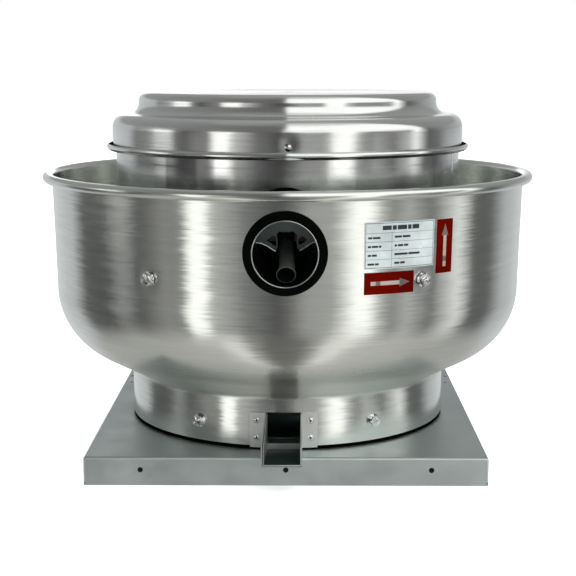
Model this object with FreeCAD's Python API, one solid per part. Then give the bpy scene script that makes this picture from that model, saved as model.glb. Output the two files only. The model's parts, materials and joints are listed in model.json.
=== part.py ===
import FreeCAD, Part
import math
import os

# Exhaust hood fan: an upblast centrifugal fan that stands on a square curb cap.
# Millimetres, +Z up. The origin is on the fan's axis, level with the lower edge of the cap's skirt.
# The grease spout faces -Y. An azimuth is measured from -Y and grows towards +X.

# ---- driving dimensions ----
CAP_SIDE = 483.0
CAP_HEIGHT = 34.6
CAP_SHEET = 1.6
CAP_BEND = 3.0
CAP_HOLE_R = 3.25
CAP_HOLE_Z = 19.3
CAP_HOLE_PITCH = 173.6
HINGE_HOLE_R = 2.3
HINGE_HOLES = ((234.5, 171.0), (230.5, 132.0))

BOWL_SHEET = 1.6
COLLAR_R = 208.5
COLLAR_BOTTOM = 39.0
COLLAR_TOP = 87.7
COLLAR_FILLET = 22.0
CONE_ANGLE = 28.0
CONE_LENGTH = 39.1
KNUCKLE_R = 95.2
WALL_LEAN = 1.355
RIM_Z = 353.1
RIM_BEAD_R = 5.95
RIM_FLAT = 1.9

BOLT_AZIMUTHS = (30.8, 149.2, -149.2, -30.8)
WALL_BOLT_Z = 253.4
COLLAR_BOLT_Z = 63.5

SHROUD_R = 225.5
SHROUD_SHEET = 1.5
SHROUD_BOTTOM = 216.0
SHROUD_STEP_Z = 377.0
SHROUD_STEP = 2.2
SHROUD_TOP = 408.0

COVER_SHEET = 1.2
COVER_TOP = 460.3
COVER_CROWN_R = 194.8
COVER_CROWN_BEND = 10.9
COVER_STEP_FILLET = 15.1
COVER_STEP_Z = 432.9
COVER_R = 229.3
COVER_SHOULDER_BEND = 16.9
COVER_BEAD_Z = 391.1
COVER_BEAD_R = 4.6
COVER_SCREWS = 3
COVER_SCREW_AZIMUTH = 0.7
COVER_SCREW_Z = 401.0

TUBE_R = 37.7
TUBE_WALL = 1.5
TUBE_MOUTH_Y = -312.0
TUBE_MOUTH_Z = 287.1
TUBE_LENGTH = 98.0
TUBE_TILT = 10.45
GROMMET_R = 47.75
GROMMET_HOLE_R = 43.0
GROMMET_PROUD = 3.2
BOWL_HOLE_Z = 289.0
SHROUD_HOLE_Z = 303.6
SPIDER_DEPTH = 46.0
SPIDER_SHEET = 2.4
CONDUIT_R = 11.0
CONDUIT_BORE = 9.2
CONDUIT_BEND_R = 70.0
CONDUIT_RUN = ((-306.0, 265.5), (-244.0, 305.8), (-128.0, 305.8))

SPOUT_X = -3.0
SPOUT_HALF_WIDTH = 21.0
SPOUT_FLARE = 4.2
SPOUT_FLANGE = 14.0
SPOUT_SHEET = 1.2
SPOUT_END_Y = -279.0
SPOUT_TOP = 81.0

INLET_R = 112.0
INLET_BOLT_R = 150.0
INLET_BEND_R = 28.0
WHEEL_R = 165.0
WHEEL_SHEET = 1.5
WHEEL_TOP = 188.0
PLATE_SHEET = 1.6
WHEEL_RING_R = 118.5
WHEEL_RING_BOTTOM = 74.0
WHEEL_RING_BEND_R = 20.0
WHEEL_RING_SLOPE = 20.0
BLADES = 8
BLADE_INNER_R = 124.0
BLADE_OUTER_R = 163.0
BLADE_SWEEP = 30.0
HUB_R = 20.0
HUB_FLANGE_R = 40.0
HUB_FLANGE = 6.0
HUB_RIVET_R = 31.0
HUB_RIVETS = 6

DECK_SHEET = 1.6
STRUT_SHEET = 3.0
STRUT_WIDTH = 36.0
STRUT_SLOPE = 18.0
STRUT_RIVETS = (165.0, 205.0)
SHROUD_RIVETS = 8
SHROUD_RIVET_Z = 229.0
BRACKET_SHEET = 3.0
BRACKET_WIDTH = 30.0
BOLT_R = 4.0
BOLT_HOLE_R = 4.2
RIVET_R = 2.0
RIVET_HEAD_R = 4.0
RIVET_HOLE_R = 2.1

SHAFT_R = 8.0
MOTOR_R = 80.0
MOTOR_WALL = 3.0
MOTOR_BOTTOM = 232.5
MOTOR_TOP = 356.0
MOTOR_BOLT_R = 73.5
MOTOR_FOOT_R = 60.0
LOWER_BELL = 13.5
UPPER_BELL = 18.0
BELL_WALL_R = 68.0
BELL_BOSS_R = 22.0
STATOR_BORE_R = 45.0
STATOR_LOW = 262.0
STATOR_HEIGHT = 60.0
STATOR_SLOTS = 18
BEARINGS = (MOTOR_BOTTOM + 7.0, MOTOR_TOP - 9.5)
BEARING_R = 17.5
BEARING_HALF = 5.4
BALL_R = 3.0
BALL_PITCH = 12.5
BALLS = 8
KEY_LOW = 155.0
KEY_HEIGHT = 30.0

V = FreeCAD.Vector
UP = V(0, 0, 1)


# ---- helpers ----
def rz(r, z):
    return V(r, 0, z)


class Outline:
    """A smooth outline in the (r, z) plane, drawn from a point along a heading in degrees."""

    def __init__(self, r, z, heading):
        self.r = r
        self.z = z
        self.heading = heading
        self.spans = []

    def left(self, heading):
        return V(-math.sin(math.radians(heading)), 0, math.cos(math.radians(heading)))

    def line(self, length):
        a = rz(self.r, self.z)
        along = V(math.cos(math.radians(self.heading)), 0, math.sin(math.radians(self.heading)))
        b = a + along * length
        side = self.left(self.heading)
        self.spans.append(((a, side), None, (b, side)))
        self.r = b.x
        self.z = b.z
        return self

    def arc(self, radius, turn):
        """Turn by so many degrees: positive to the left, negative to the right."""
        sign = 1.0 if turn > 0 else -1.0
        a = rz(self.r, self.z)
        side = self.left(self.heading)
        centre = a + side * (radius * sign)
        middle = self.left(self.heading + turn / 2)
        end = self.left(self.heading + turn)
        m = centre - middle * (radius * sign)
        b = centre - end * (radius * sign)
        self.spans.append(((a, side), (m, middle), (b, end)))
        self.r = b.x
        self.z = b.z
        self.heading += turn
        return self

    def edges(self, shift):
        made = []
        for start, middle, end in self.spans:
            a = start[0] + start[1] * shift
            b = end[0] + end[1] * shift
            if middle is None:
                made.append(Part.makeLine(a, b))
            else:
                made.append(Part.Arc(a, middle[0] + middle[1] * shift, b).toShape())
        return made

    def face(self, thickness, base=0.0):
        """The strip from the outline shifted by base to the outline shifted by base + thickness."""
        near = self.edges(base)
        far = self.edges(base + thickness)
        caps = []
        for point, side in (self.spans[0][0], self.spans[-1][2]):
            caps.append(Part.makeLine(point + side * base, point + side * (base + thickness)))
        return Part.Face(Part.Wire(Part.__sortEdges__(near + far + caps)))

    def spun(self, thickness, base=0.0):
        return spin(self.face(thickness, base))

    def bar(self, thickness, width):
        """The strip as a bent flat bar that lies along -Y, centred on x = 0."""
        strip = self.face(thickness)
        solid = strip.extrude(V(0, width, 0))
        solid.translate(V(0, -width / 2, 0))
        solid.rotate(V(0, 0, 0), UP, -90)
        return solid


def spin(face):
    return face.revolve(V(0, 0, 0), UP, 360)


def turned(points):
    """A solid of revolution from the corners of its (r, z) section."""
    ring = [rz(r, z) for r, z in points]
    return spin(Part.Face(Part.makePolygon(ring + ring[:1])))


def prism(points, z, height):
    ring = [V(x, y, z) for x, y in points]
    return Part.Face(Part.makePolygon(ring + ring[:1])).extrude(V(0, 0, height))


def rod(r, z, height, x=0.0, y=0.0):
    return Part.makeCylinder(r, height, V(x, y, z))


def tube(outer, inner, z, height, x=0.0, y=0.0):
    return rod(outer, z, height, x, y).cut(rod(inner, z - 1, height + 2, x, y))


def block(x0, x1, y0, y1, z0, z1):
    return Part.makeBox(x1 - x0, y1 - y0, z1 - z0, V(x0, y0, z0))


def at_azimuth(shape, azimuth):
    """A copy of a shape that was made on the -Y side, turned to its azimuth."""
    placed = shape.copy()
    placed.rotate(V(0, 0, 0), UP, azimuth)
    return placed


def facing_out(shape, r, z):
    """A shape made about +Z, stood on the -Y side so that its +Z points away from the axis."""
    placed = shape.copy()
    placed.rotate(V(0, 0, 0), V(1, 0, 0), 90)
    placed.translate(V(0, -r, z))
    return placed


def evenly(shape, count, first=0.0):
    return [at_azimuth(shape, first + 360.0 * i / count) for i in range(count)]


def group(shapes):
    return Part.makeCompound(shapes)


def cut_all(shape, tools):
    return shape.cut(group(tools))


def hexagon(across_flats, z, height):
    corner = across_flats / math.sqrt(3)
    angles = [math.radians(60 * i) for i in range(6)]
    return prism([(corner * math.cos(a), corner * math.sin(a)) for a in angles], z, height)


def hex_bolt(shank_r, length):
    """A hex bolt with its washer: it seats at z = 0, with its shank below."""
    washer = rod(2.1 * shank_r, 0, 0.35 * shank_r)
    head = hexagon(3.2 * shank_r, 0.35 * shank_r, 1.3 * shank_r)
    chamfer = Part.makeCone(1.95 * shank_r, 1.55 * shank_r, 1.3 * shank_r, V(0, 0, 0.35 * shank_r))
    return washer.fuse([head.common(chamfer), rod(shank_r, -length, length)]).removeSplitter()


def hex_nut(shank_r, z):
    return hexagon(3.2 * shank_r, z, 1.6 * shank_r).cut(rod(shank_r + 0.05, z - 1, 2 * shank_r + 2))


def dome_head(r, height):
    """A low domed head that seats at z = 0."""
    ball = (r * r + height * height) / (2 * height)
    sphere = Part.makeSphere(ball, V(0, 0, height - ball))
    return sphere.common(rod(r, 0, height))


def rivet(head_r, shank_r, length):
    """A domed rivet: it seats at z = 0, with its shank and a flat foot below."""
    foot = rod(shank_r * 1.5, -length - 1.0, 1.0)
    return dome_head(head_r, head_r * 0.45).fuse([rod(shank_r, -length, length), foot]).removeSplitter()


# ---- curb cap and inlet ----
def box_shell(side, height, bend):
    body = block(-side / 2, side / 2, -side / 2, side / 2, -1, height)
    upright = [e for e in body.Edges if abs(e.tangentAt(e.FirstParameter).z) > 0.9]
    body = body.makeFillet(bend * 0.6, upright)
    top = [e for e in body.Edges if e.BoundBox.ZMin > height - 0.01]
    return body.makeFillet(bend, top)


def curb_cap():
    outside = box_shell(CAP_SIDE, CAP_HEIGHT, CAP_BEND)
    inside = box_shell(CAP_SIDE - 2 * CAP_SHEET, CAP_HEIGHT - CAP_SHEET, CAP_BEND - CAP_SHEET)
    below = block(-CAP_SIDE, CAP_SIDE, -CAP_SIDE, CAP_SIDE, -5, 0)
    tools = [inside, below, rod(INLET_R + INLET_BEND_R - 1, 0, 60)]
    hole = facing_out(rod(CAP_HOLE_R, 0, 20), CAP_SIDE / 2 - 10, CAP_HOLE_Z)
    for offset in (-CAP_HOLE_PITCH, 0, CAP_HOLE_PITCH):
        shifted = hole.copy()
        shifted.translate(V(offset, 0, 0))
        tools += evenly(shifted, 4)
    for x, y in HINGE_HOLES:
        tools += [rod(HINGE_HOLE_R, 20, 30, x, y), rod(HINGE_HOLE_R, 20, 30, -x, y)]
    notch = facing_out(rod(2.0, 0, 20), CAP_SIDE / math.sqrt(2) - 12, 3.0)
    tools += evenly(notch, 4, 45)
    tools += [at_azimuth(t, a) for t in bracket_rivet_holes() for a in BOLT_AZIMUTHS]
    return cut_all(outside, tools + inlet_rivet_holes())


def inlet_rivet_holes():
    return evenly(rod(1.7, 20, 30, 0, -INLET_BOLT_R), 8, 22.5)


def inlet_venturi():
    flange = 20.0
    path = Outline(INLET_R + INLET_BEND_R + flange, CAP_HEIGHT, 180)
    path.line(flange).arc(INLET_BEND_R, -90).line(19)
    return cut_all(path.spun(-WHEEL_SHEET), inlet_rivet_holes())


def venturi_rivets():
    one = rivet(3.2, 1.6, CAP_SHEET + WHEEL_SHEET)
    one.translate(V(0, -INLET_BOLT_R, CAP_HEIGHT + WHEEL_SHEET))
    return group(evenly(one, 8, 22.5))


# ---- windband ----
def wall_radius(z):
    """Outer radius of the windband's straight wall."""
    foot_r, foot_z = wall_foot()
    return foot_r + (z - foot_z) * math.tan(math.radians(WALL_LEAN))


def bowl_outline():
    path = Outline(COLLAR_R, COLLAR_BOTTOM, 90)
    path.line(COLLAR_TOP - COLLAR_BOTTOM)
    path.arc(COLLAR_FILLET, CONE_ANGLE - 90)
    path.line(CONE_LENGTH)
    path.arc(KNUCKLE_R, 90 - WALL_LEAN - CONE_ANGLE)
    return path


def wall_foot():
    path = bowl_outline()
    return path.r, path.z


def windband():
    path = bowl_outline()
    curl = RIM_BEAD_R - BOWL_SHEET
    path.line((RIM_Z - path.z) / math.cos(math.radians(WALL_LEAN)))
    path.arc(curl, WALL_LEAN - 90).line(RIM_FLAT).arc(curl, -235)
    bowl = path.spun(BOWL_SHEET)
    tools = [facing_out(rod(GROMMET_HOLE_R, 0, 80), 260, BOWL_HOLE_Z)]
    for azimuth in BOLT_AZIMUTHS:
        tools.append(at_azimuth(facing_out(rod(BOLT_HOLE_R, 0, 40), 290, WALL_BOLT_Z), azimuth))
        tools.append(at_azimuth(facing_out(rod(BOLT_HOLE_R, 0, 40), 190, COLLAR_BOLT_Z), azimuth))
    tools.append(spout_window())
    tools += [facing_out_at(rod(2.2, -20, 40), x, z) for x, z in spout_rivet_places()]
    return cut_all(bowl, tools)


def collar_bracket():
    face_r = COLLAR_R - BOWL_SHEET - 0.7
    path = Outline(face_r - 34, CAP_HEIGHT + 0.02, 0)
    path.line(28).arc(6, 90).line(39)
    bar = path.bar(BRACKET_SHEET, BRACKET_WIDTH)
    hole = facing_out(rod(BOLT_HOLE_R, -20, 40), face_r, COLLAR_BOLT_Z)
    return cut_all(bar, [hole] + bracket_rivet_holes())


def bracket_rivet_places():
    return ((-8, -(COLLAR_R - 24)), (8, -(COLLAR_R - 24)))


def bracket_rivet_holes():
    return [rod(RIVET_HOLE_R, 20, 30, x, y) for x, y in bracket_rivet_places()]


def collar_brackets():
    return group([at_azimuth(collar_bracket(), a) for a in BOLT_AZIMUTHS])


def bracket_rivets():
    made = []
    for x, y in bracket_rivet_places():
        one = rivet(RIVET_HEAD_R, RIVET_R, CAP_SHEET + BRACKET_SHEET + 0.05)
        one.translate(V(x, y, CAP_HEIGHT + BRACKET_SHEET + 0.02))
        made += [at_azimuth(one, a) for a in BOLT_AZIMUTHS]
    return group(made)


def bolts_around(r, z, length):
    one = facing_out(hex_bolt(BOLT_R, length), r, z)
    return group([at_azimuth(one, a) for a in BOLT_AZIMUTHS])


def nuts_around(r, z):
    one = facing_out(hex_nut(BOLT_R, -1.6 * BOLT_R), r, z)
    return group([at_azimuth(one, a) for a in BOLT_AZIMUTHS])


# ---- grease spout ----
def facing_out_at(shape, x, z):
    """A shape made about +Z, stood on the collar at this x, pointing away from the axis."""
    azimuth = math.degrees(math.asin(x / COLLAR_R))
    return at_azimuth(facing_out(shape, COLLAR_R, z), azimuth)


def spout_rivet_places():
    return [(SPOUT_X + x, z) for x in (-32.6, 32.6) for z in (49.5, 71.0)]


def spout_window():
    half = SPOUT_HALF_WIDTH
    return block(SPOUT_X - half, SPOUT_X + half, -COLLAR_R - 5, -COLLAR_R + 12, 42, SPOUT_TOP)


def spout_wedge(grow, end_y, floor_back, floor_front, top_back, top_front):
    """The space between the spout's side walls: it flares towards its mouth and its floor falls."""
    back = -COLLAR_R + 3
    half_back = SPOUT_HALF_WIDTH + grow
    half_front = half_back + SPOUT_FLARE
    side = [V(0, back, floor_back), V(0, end_y, floor_front), V(0, end_y, top_front), V(0, back, top_back)]
    slab = Part.Face(Part.makePolygon(side + side[:1])).extrude(V(120, 0, 0))
    slab.translate(V(-60, 0, 0))
    plan = [(-half_back, back), (-half_front, end_y), (half_front, end_y), (half_back, back)]
    wedge = slab.common(prism(plan, 0, 200))
    wedge.translate(V(SPOUT_X, 0, 0))
    return wedge


def spout_flange():
    half = SPOUT_HALF_WIDTH + SPOUT_SHEET
    band = tube(COLLAR_R + 0.05 + SPOUT_SHEET, COLLAR_R + 0.05, 36.7, 42.1)
    left = block(SPOUT_X - half - SPOUT_FLANGE - 4, SPOUT_X - half, -230, -190, 30, 90)
    right = block(SPOUT_X + half, SPOUT_X + half + SPOUT_FLANGE + 4, -230, -190, 30, 90)
    return band.common(group([left, right]))


def grease_spout():
    outer = spout_wedge(SPOUT_SHEET, SPOUT_END_Y, 40.8, 35.0, SPOUT_TOP, 58.0)
    inner = spout_wedge(0, SPOUT_END_Y - 4, 42.0, 36.0, SPOUT_TOP + 20, 90.0)
    lip = block(SPOUT_X - 24, SPOUT_X + 24, SPOUT_END_Y, SPOUT_END_Y + 1.2, 35.2, 38.2)
    inside_collar = rod(COLLAR_R + 0.05, 0, 120)
    trough = outer.cut(inner).fuse(lip).cut(inside_collar)
    body = trough.fuse(spout_flange()).removeSplitter()
    return cut_all(body, [facing_out_at(rod(2.2, -20, 40), x, z) for x, z in spout_rivet_places()])


def spout_rivets():
    one = rivet(RIVET_HEAD_R, RIVET_HOLE_R, SPOUT_SHEET + BOWL_SHEET + 0.4)
    one.translate(V(0, 0, SPOUT_SHEET + 0.15))
    return group([facing_out_at(one, x, z) for x, z in spout_rivet_places()])


# ---- motor deck, struts, shroud and cover ----
def support_strut(azimuth):
    tab_r = wall_radius(WALL_BOLT_Z) - BOWL_SHEET - 1.0
    bend = 8
    path = Outline(150, SHROUD_BOTTOM - STRUT_SHEET - 0.1, 0)
    path.line(86).arc(bend, STRUT_SLOPE)
    rise = bend * (1 - math.sin(math.radians(STRUT_SLOPE)))
    path.line((tab_r - rise - path.r) / math.cos(math.radians(STRUT_SLOPE)))
    path.arc(bend, 90 - STRUT_SLOPE).line(28)
    hole = facing_out(rod(BOLT_HOLE_R, -20, 40), tab_r, WALL_BOLT_Z)
    bar = cut_all(path.bar(STRUT_SHEET, STRUT_WIDTH), [hole] + strut_rivet_holes())
    return at_azimuth(bar, azimuth)


def strut_rivet_holes():
    return [rod(RIVET_HOLE_R, 200, 40, 0, -r) for r in STRUT_RIVETS]


def strut_rivets():
    made = []
    for r in STRUT_RIVETS:
        one = rivet(RIVET_HEAD_R, RIVET_R, STRUT_SHEET + DECK_SHEET + 0.1)
        one.translate(V(0, -r, SHROUD_BOTTOM + DECK_SHEET))
        made += [at_azimuth(one, a) for a in BOLT_AZIMUTHS]
    return group(made)


def motor_deck():
    rim_r = SHROUD_R - SHROUD_SHEET - 0.2
    path = Outline(35, SHROUD_BOTTOM, 0)
    path.line(rim_r - 5 - 35).arc(5, 90).line(17)
    deck = path.spun(DECK_SHEET)
    tools = [at_azimuth(h, a) for h in strut_rivet_holes() for a in BOLT_AZIMUTHS]
    tools += evenly(rod(BOLT_HOLE_R, 200, 40, 0, -MOTOR_FOOT_R), 4, 45)
    return cut_all(deck, tools + shroud_rivet_holes(rim_r))


def shroud_rivet_holes(r):
    return evenly(facing_out(rod(RIVET_HOLE_R, -20, 40), r, SHROUD_RIVET_Z), SHROUD_RIVETS, 22.5)


def shroud_rivets():
    one = rivet(RIVET_HEAD_R, RIVET_R, SHROUD_SHEET + DECK_SHEET + 0.3)
    return group(evenly(facing_out(one, SHROUD_R, SHROUD_RIVET_Z), SHROUD_RIVETS, 22.5))


def motor_shroud():
    bend = 3
    path = Outline(SHROUD_R, SHROUD_BOTTOM, 90)
    path.line(SHROUD_STEP_Z - SHROUD_BOTTOM).arc(bend, -45)
    ramp = SHROUD_STEP - 2 * bend * (1 - math.cos(math.radians(45)))
    path.line(ramp * math.sqrt(2)).arc(bend, 45)
    path.line(SHROUD_TOP - path.z)
    drum = path.spun(SHROUD_SHEET)
    tools = [facing_out(rod(GROMMET_HOLE_R, 0, 80), 180, SHROUD_HOLE_Z)]
    return cut_all(drum, tools + shroud_rivet_holes(SHROUD_R) + cover_screw_holes())


def motor_cover():
    curl = COVER_BEAD_R - COVER_SHEET
    crown = COVER_CROWN_R - COVER_CROWN_BEND
    path = Outline(0, COVER_TOP, 0)
    path.line(crown).arc(COVER_CROWN_BEND, -90)
    path.line(COVER_TOP - COVER_CROWN_BEND - COVER_STEP_Z - COVER_STEP_FILLET)
    path.arc(COVER_STEP_FILLET, 90)
    path.line(COVER_R - COVER_SHOULDER_BEND - path.r).arc(COVER_SHOULDER_BEND, -90)
    path.line(path.z - COVER_BEAD_Z).arc(curl, 232)
    return cut_all(path.spun(-COVER_SHEET), cover_screw_holes())


def cover_screw_holes():
    hole = facing_out(rod(2.2, -20, 40), COVER_R, COVER_SCREW_Z)
    return evenly(hole, COVER_SCREWS, COVER_SCREW_AZIMUTH)


def cover_screws():
    head = dome_head(4.6, 3.2)
    slot = block(-6, 6, -0.6, 0.6, 2.2, 4)
    screw = head.cut(slot).fuse(rod(2.1, -10, 10.2)).removeSplitter()
    placed = facing_out(screw, COVER_R + 0.02, COVER_SCREW_Z)
    return group(evenly(placed, COVER_SCREWS, COVER_SCREW_AZIMUTH))


# ---- breather tube ----
def in_tube(shape):
    """A shape made about +Z, laid on the breather tube's axis: +Z points out of its mouth, +Y up."""
    placed = shape.copy()
    placed.rotate(V(0, 0, 0), V(1, 0, 0), 90 + TUBE_TILT)
    placed.translate(V(0, TUBE_MOUTH_Y, TUBE_MOUTH_Z))
    return placed


def breather_tube():
    return in_tube(tube(TUBE_R, TUBE_R - TUBE_WALL, -TUBE_LENGTH, TUBE_LENGTH))


def grommet(sleeve, z, wall):
    """A grooved rubber ring about the tube, trimmed to the curve of the wall that it sits in."""
    ring = facing_out(rod(GROMMET_R, 0, 170), 160, z).common(sleeve)
    bore = in_tube(rod(TUBE_R + 0.02, -TUBE_LENGTH - 40, TUBE_LENGTH + 80))
    parts = ring.cut(bore).cut(wall)
    return max(parts.Solids, key=lambda s: s.Volume)


def bowl_grommet():
    foot_r, foot_z = wall_foot()
    path = Outline(foot_r, foot_z, 90 - WALL_LEAN).line(RIM_Z - foot_z - 4)
    sleeve = path.spun(BOWL_SHEET + 2 * GROMMET_PROUD, -GROMMET_PROUD)
    return grommet(sleeve, BOWL_HOLE_Z, windband())


def shroud_grommet():
    outer = SHROUD_R + GROMMET_PROUD
    sleeve = tube(outer, SHROUD_R - SHROUD_SHEET - GROMMET_PROUD, 230, 140)
    return grommet(sleeve, SHROUD_HOLE_Z, motor_shroud())


def tube_spider():
    """A moulded half disc with windows: it carries the conduit in the breather tube."""
    disc = rod(TUBE_R - TUBE_WALL - 0.2, -SPIDER_DEPTH - SPIDER_SHEET, SPIDER_SHEET)
    low = [(-50, 4.2), (-11.5, -9.5), (11.5, -9.5), (50, 4.2), (50, -50), (-50, -50)]
    side = [(-23.5, 3.0), (-18.5, 8.0), (-12.5, 4.0), (-12.5, -5.6)]
    half_top = [(-10.5, 3.0), (-11.5, 8.0), (-7.5, 9.0), (-6, 12)]
    top = half_top + [(-x, y) for x, y in reversed(half_top)]
    windows = [low, side, [(-x, y) for x, y in reversed(side)], top]
    plate = cut_all(disc, [prism(w, -SPIDER_DEPTH - 10, 20) for w in windows])
    rib = prism([(-34, -1.2), (-34, 0.4), (-11.5, -7.9), (-11.5, -9.5)], -SPIDER_DEPTH - SPIDER_SHEET, 11)
    ribs = [rib, rib.mirror(V(0, 0, 0), V(1, 0, 0))]
    nicks = [rod(1.3, -SPIDER_DEPTH - 10, 20, 33.5 * math.sin(a), 33.5 * math.cos(a))
             for a in (math.radians(d) for d in (-42, -30, 30, 42))]
    body = cut_all(plate.fuse(ribs), nicks)
    return in_tube(body).cut(conduit_solid(CONDUIT_R + 0.1))


def conduit_solid(r):
    """A straight run, a bend and a level run, all in the plane x = 0."""
    a, b, c = [V(0, y, z) for y, z in CONDUIT_RUN]
    first = (b - a).normalize()
    last = (c - b).normalize()
    half_turn = first.getAngle(last) / 2
    cut_back = CONDUIT_BEND_R * math.tan(half_turn)
    p = b - first * cut_back
    q = b + last * cut_back
    bisector = (last - first).normalize()
    centre = b + bisector * (CONDUIT_BEND_R / math.cos(half_turn))
    m = centre - bisector * CONDUIT_BEND_R
    path = Part.Wire([Part.makeLine(a, p), Part.Arc(p, m, q).toShape(), Part.makeLine(q, c)])
    circle = Part.Wire(Part.makeCircle(r, a, first))
    return path.makePipeShell([circle], True, False)


def wiring_conduit():
    return conduit_solid(CONDUIT_R).cut(conduit_solid(CONDUIT_BORE))


# ---- motor ----
def bolt_notches():
    return evenly(rod(2.8, 200, 200, 0, -MOTOR_BOLT_R), 4)


def bell_section(z, up, depth, web, boss, seat, bore):
    """Half section of an end bell: up is 1 for the lower bell and -1 for the upper one."""
    pocket = BEARING_R + 0.05
    corners = [(bore, 0), (MOTOR_R, 0), (MOTOR_R, depth), (BELL_WALL_R, depth), (BELL_WALL_R, web)]
    corners += [(BELL_BOSS_R, web), (BELL_BOSS_R, boss), (pocket, boss), (pocket, seat), (bore, seat)]
    return turned([(r, z + up * h) for r, h in corners])


def lower_end_bell():
    bell = bell_section(MOTOR_BOTTOM, 1, LOWER_BELL, 3.5, 12.5, 1.5, SHAFT_R + 1)
    vents = evenly(rod(7, MOTOR_BOTTOM - 1, 6, 0, -42), 8)
    feet = evenly(rod(BOLT_HOLE_R, MOTOR_BOTTOM - 1, 30, 0, -MOTOR_FOOT_R), 4, 45)
    return cut_all(bell, vents + bolt_notches() + feet)


def upper_end_bell():
    bell = bell_section(MOTOR_TOP, -1, UPPER_BELL, 5, 15, 2, 0)
    vents = evenly(rod(7, MOTOR_TOP - 8, 10, 0, -46), 8)
    return cut_all(bell, vents + bolt_notches())


def motor_housing():
    low = MOTOR_BOTTOM + LOWER_BELL
    return tube(MOTOR_R, MOTOR_R - MOTOR_WALL, low, MOTOR_TOP - UPPER_BELL - low)


def stator_core():
    core = tube(MOTOR_R - MOTOR_WALL - 0.02, STATOR_BORE_R, STATOR_LOW, STATOR_HEIGHT)
    slot = block(-3, 3, -66, -STATOR_BORE_R + 3, STATOR_LOW - 2, STATOR_LOW + STATOR_HEIGHT + 2)
    return cut_all(core, evenly(slot, STATOR_SLOTS) + bolt_notches())


def stator_windings():
    low = STATOR_LOW - 0.1
    high = STATOR_LOW + STATOR_HEIGHT + 0.1
    rings = []
    for z, up in ((low, -1), (high, 1)):
        corners = [(47, 0), (67, 0), (67, 6.9), (64, 10.9), (47, 10.9)]
        rings.append(turned([(r, z + up * h) for r, h in corners]))
    bar = block(-2.8, 2.8, -65, -47.2, low - 1, high + 1)
    bars = [b.cut(tube(80, 65.5, 250, 100)) for b in evenly(bar, STATOR_SLOTS)]
    return rings[0].fuse(bars + rings[1:]).removeSplitter()


def motor_through_bolts():
    across = 8
    nut_height = 4
    bolt = rod(2.5, MOTOR_BOTTOM - nut_height, MOTOR_TOP - MOTOR_BOTTOM + nut_height)
    ends = [hexagon(across, MOTOR_TOP, 3.5), hexagon(across, MOTOR_BOTTOM - nut_height, nut_height)]
    whole = bolt.fuse(ends).removeSplitter()
    whole.translate(V(0, -MOTOR_BOLT_R, 0))
    return group(evenly(whole, 4))


def motor_isolators():
    low = SHROUD_BOTTOM + DECK_SHEET
    height = MOTOR_BOTTOM - low
    outside = [(13, 0), (13, 4), (9, 6), (9, 9), (13, 11), (13, height)]
    corners = [(BOLT_HOLE_R, 0)] + outside + [(BOLT_HOLE_R, height)]
    spool = turned([(r, low + h) for r, h in corners])
    spool.translate(V(0, -MOTOR_FOOT_R, 0))
    return group(evenly(spool, 4, 45))


def motor_mount_bolts():
    bolt = hex_bolt(BOLT_R, 27)
    bolt.rotate(V(0, 0, 0), V(1, 0, 0), 180)
    bolt.translate(V(0, -MOTOR_FOOT_R, SHROUD_BOTTOM))
    nut = hex_nut(BOLT_R, MOTOR_BOTTOM + 3.6)
    nut.translate(V(0, -MOTOR_FOOT_R, 0))
    return group(evenly(bolt.fuse(nut), 4, 45))


def ball_track(z):
    return Part.makeTorus(BALL_PITCH, BALL_R + 0.05, V(0, 0, z))


def bearing_rings(outer, inner):
    rings = [tube(outer, inner, z - BEARING_HALF, 2 * BEARING_HALF) for z in BEARINGS]
    return group([ring.cut(ball_track(z)) for ring, z in zip(rings, BEARINGS)])


def bearing_balls():
    ball = Part.makeSphere(BALL_R, V(0, -BALL_PITCH, 0))
    made = []
    for z in BEARINGS:
        for one in evenly(ball, BALLS):
            one.translate(V(0, 0, z))
            made.append(one)
    return group(made)


def wiring_box():
    outer = block(-38, 38, -136, -66, 280, 332)
    inner = block(-36, 36, -134, -86, 282, 340)
    entry = conduit_solid(CONDUIT_R + 0.05)
    return outer.cut(inner).cut(rod(MOTOR_R + 0.05, 200, 200)).cut(entry)


def wiring_box_lid():
    plate = block(-39, 39, -137, -68, 332, 333.5)
    return plate.cut(rod(MOTOR_R + 0.3, 300, 100))


def capacitor():
    base = SHROUD_BOTTOM + DECK_SHEET
    can = rod(22, base, 88, 0, 118)
    shoulder = Part.makeCone(22, 19.5, 3, V(0, 118, base + 88))
    terminals = [block(x - 3, x + 3, 117.6, 118.4, base + 90, base + 99) for x in (-8, 8)]
    return can.fuse([shoulder] + terminals).removeSplitter()


# ---- rotor and wheel ----
def key_block(play):
    half = 2.0 + play
    return block(-half, half, -10.2 - play, -6, KEY_LOW - play, KEY_LOW + KEY_HEIGHT + play)


def motor_shaft():
    return rod(SHAFT_R, 150, MOTOR_TOP - 3 - 150).cut(key_block(0))


def shaft_key():
    return key_block(0)


def rotor_core():
    core = tube(STATOR_BORE_R - 0.4, SHAFT_R, STATOR_LOW, STATOR_HEIGHT)
    ends = tube(40, 24, STATOR_LOW - 6, STATOR_HEIGHT + 12)
    end_rings = ends.cut(tube(41, 23, STATOR_LOW, STATOR_HEIGHT))
    return core.fuse(end_rings.Solids).removeSplitter()


def wheel_hub():
    low = WHEEL_TOP - 36
    under = WHEEL_TOP - PLATE_SHEET
    flange = under - HUB_FLANGE
    corners = [(SHAFT_R, low), (HUB_R, low), (HUB_R, flange - 4), (HUB_R + 4, flange)]
    corners += [(HUB_FLANGE_R, flange), (HUB_FLANGE_R, under), (SHAFT_R, under)]
    hub = turned(corners)
    slot = block(-2, 2, -10.2, -6, low - 1, under + 1)
    screw_hole = facing_out(rod(3.05, -5, 25), SHAFT_R, low + 12)
    return cut_all(hub, [slot, at_azimuth(screw_hole, 90)] + hub_rivet_holes())


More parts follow.
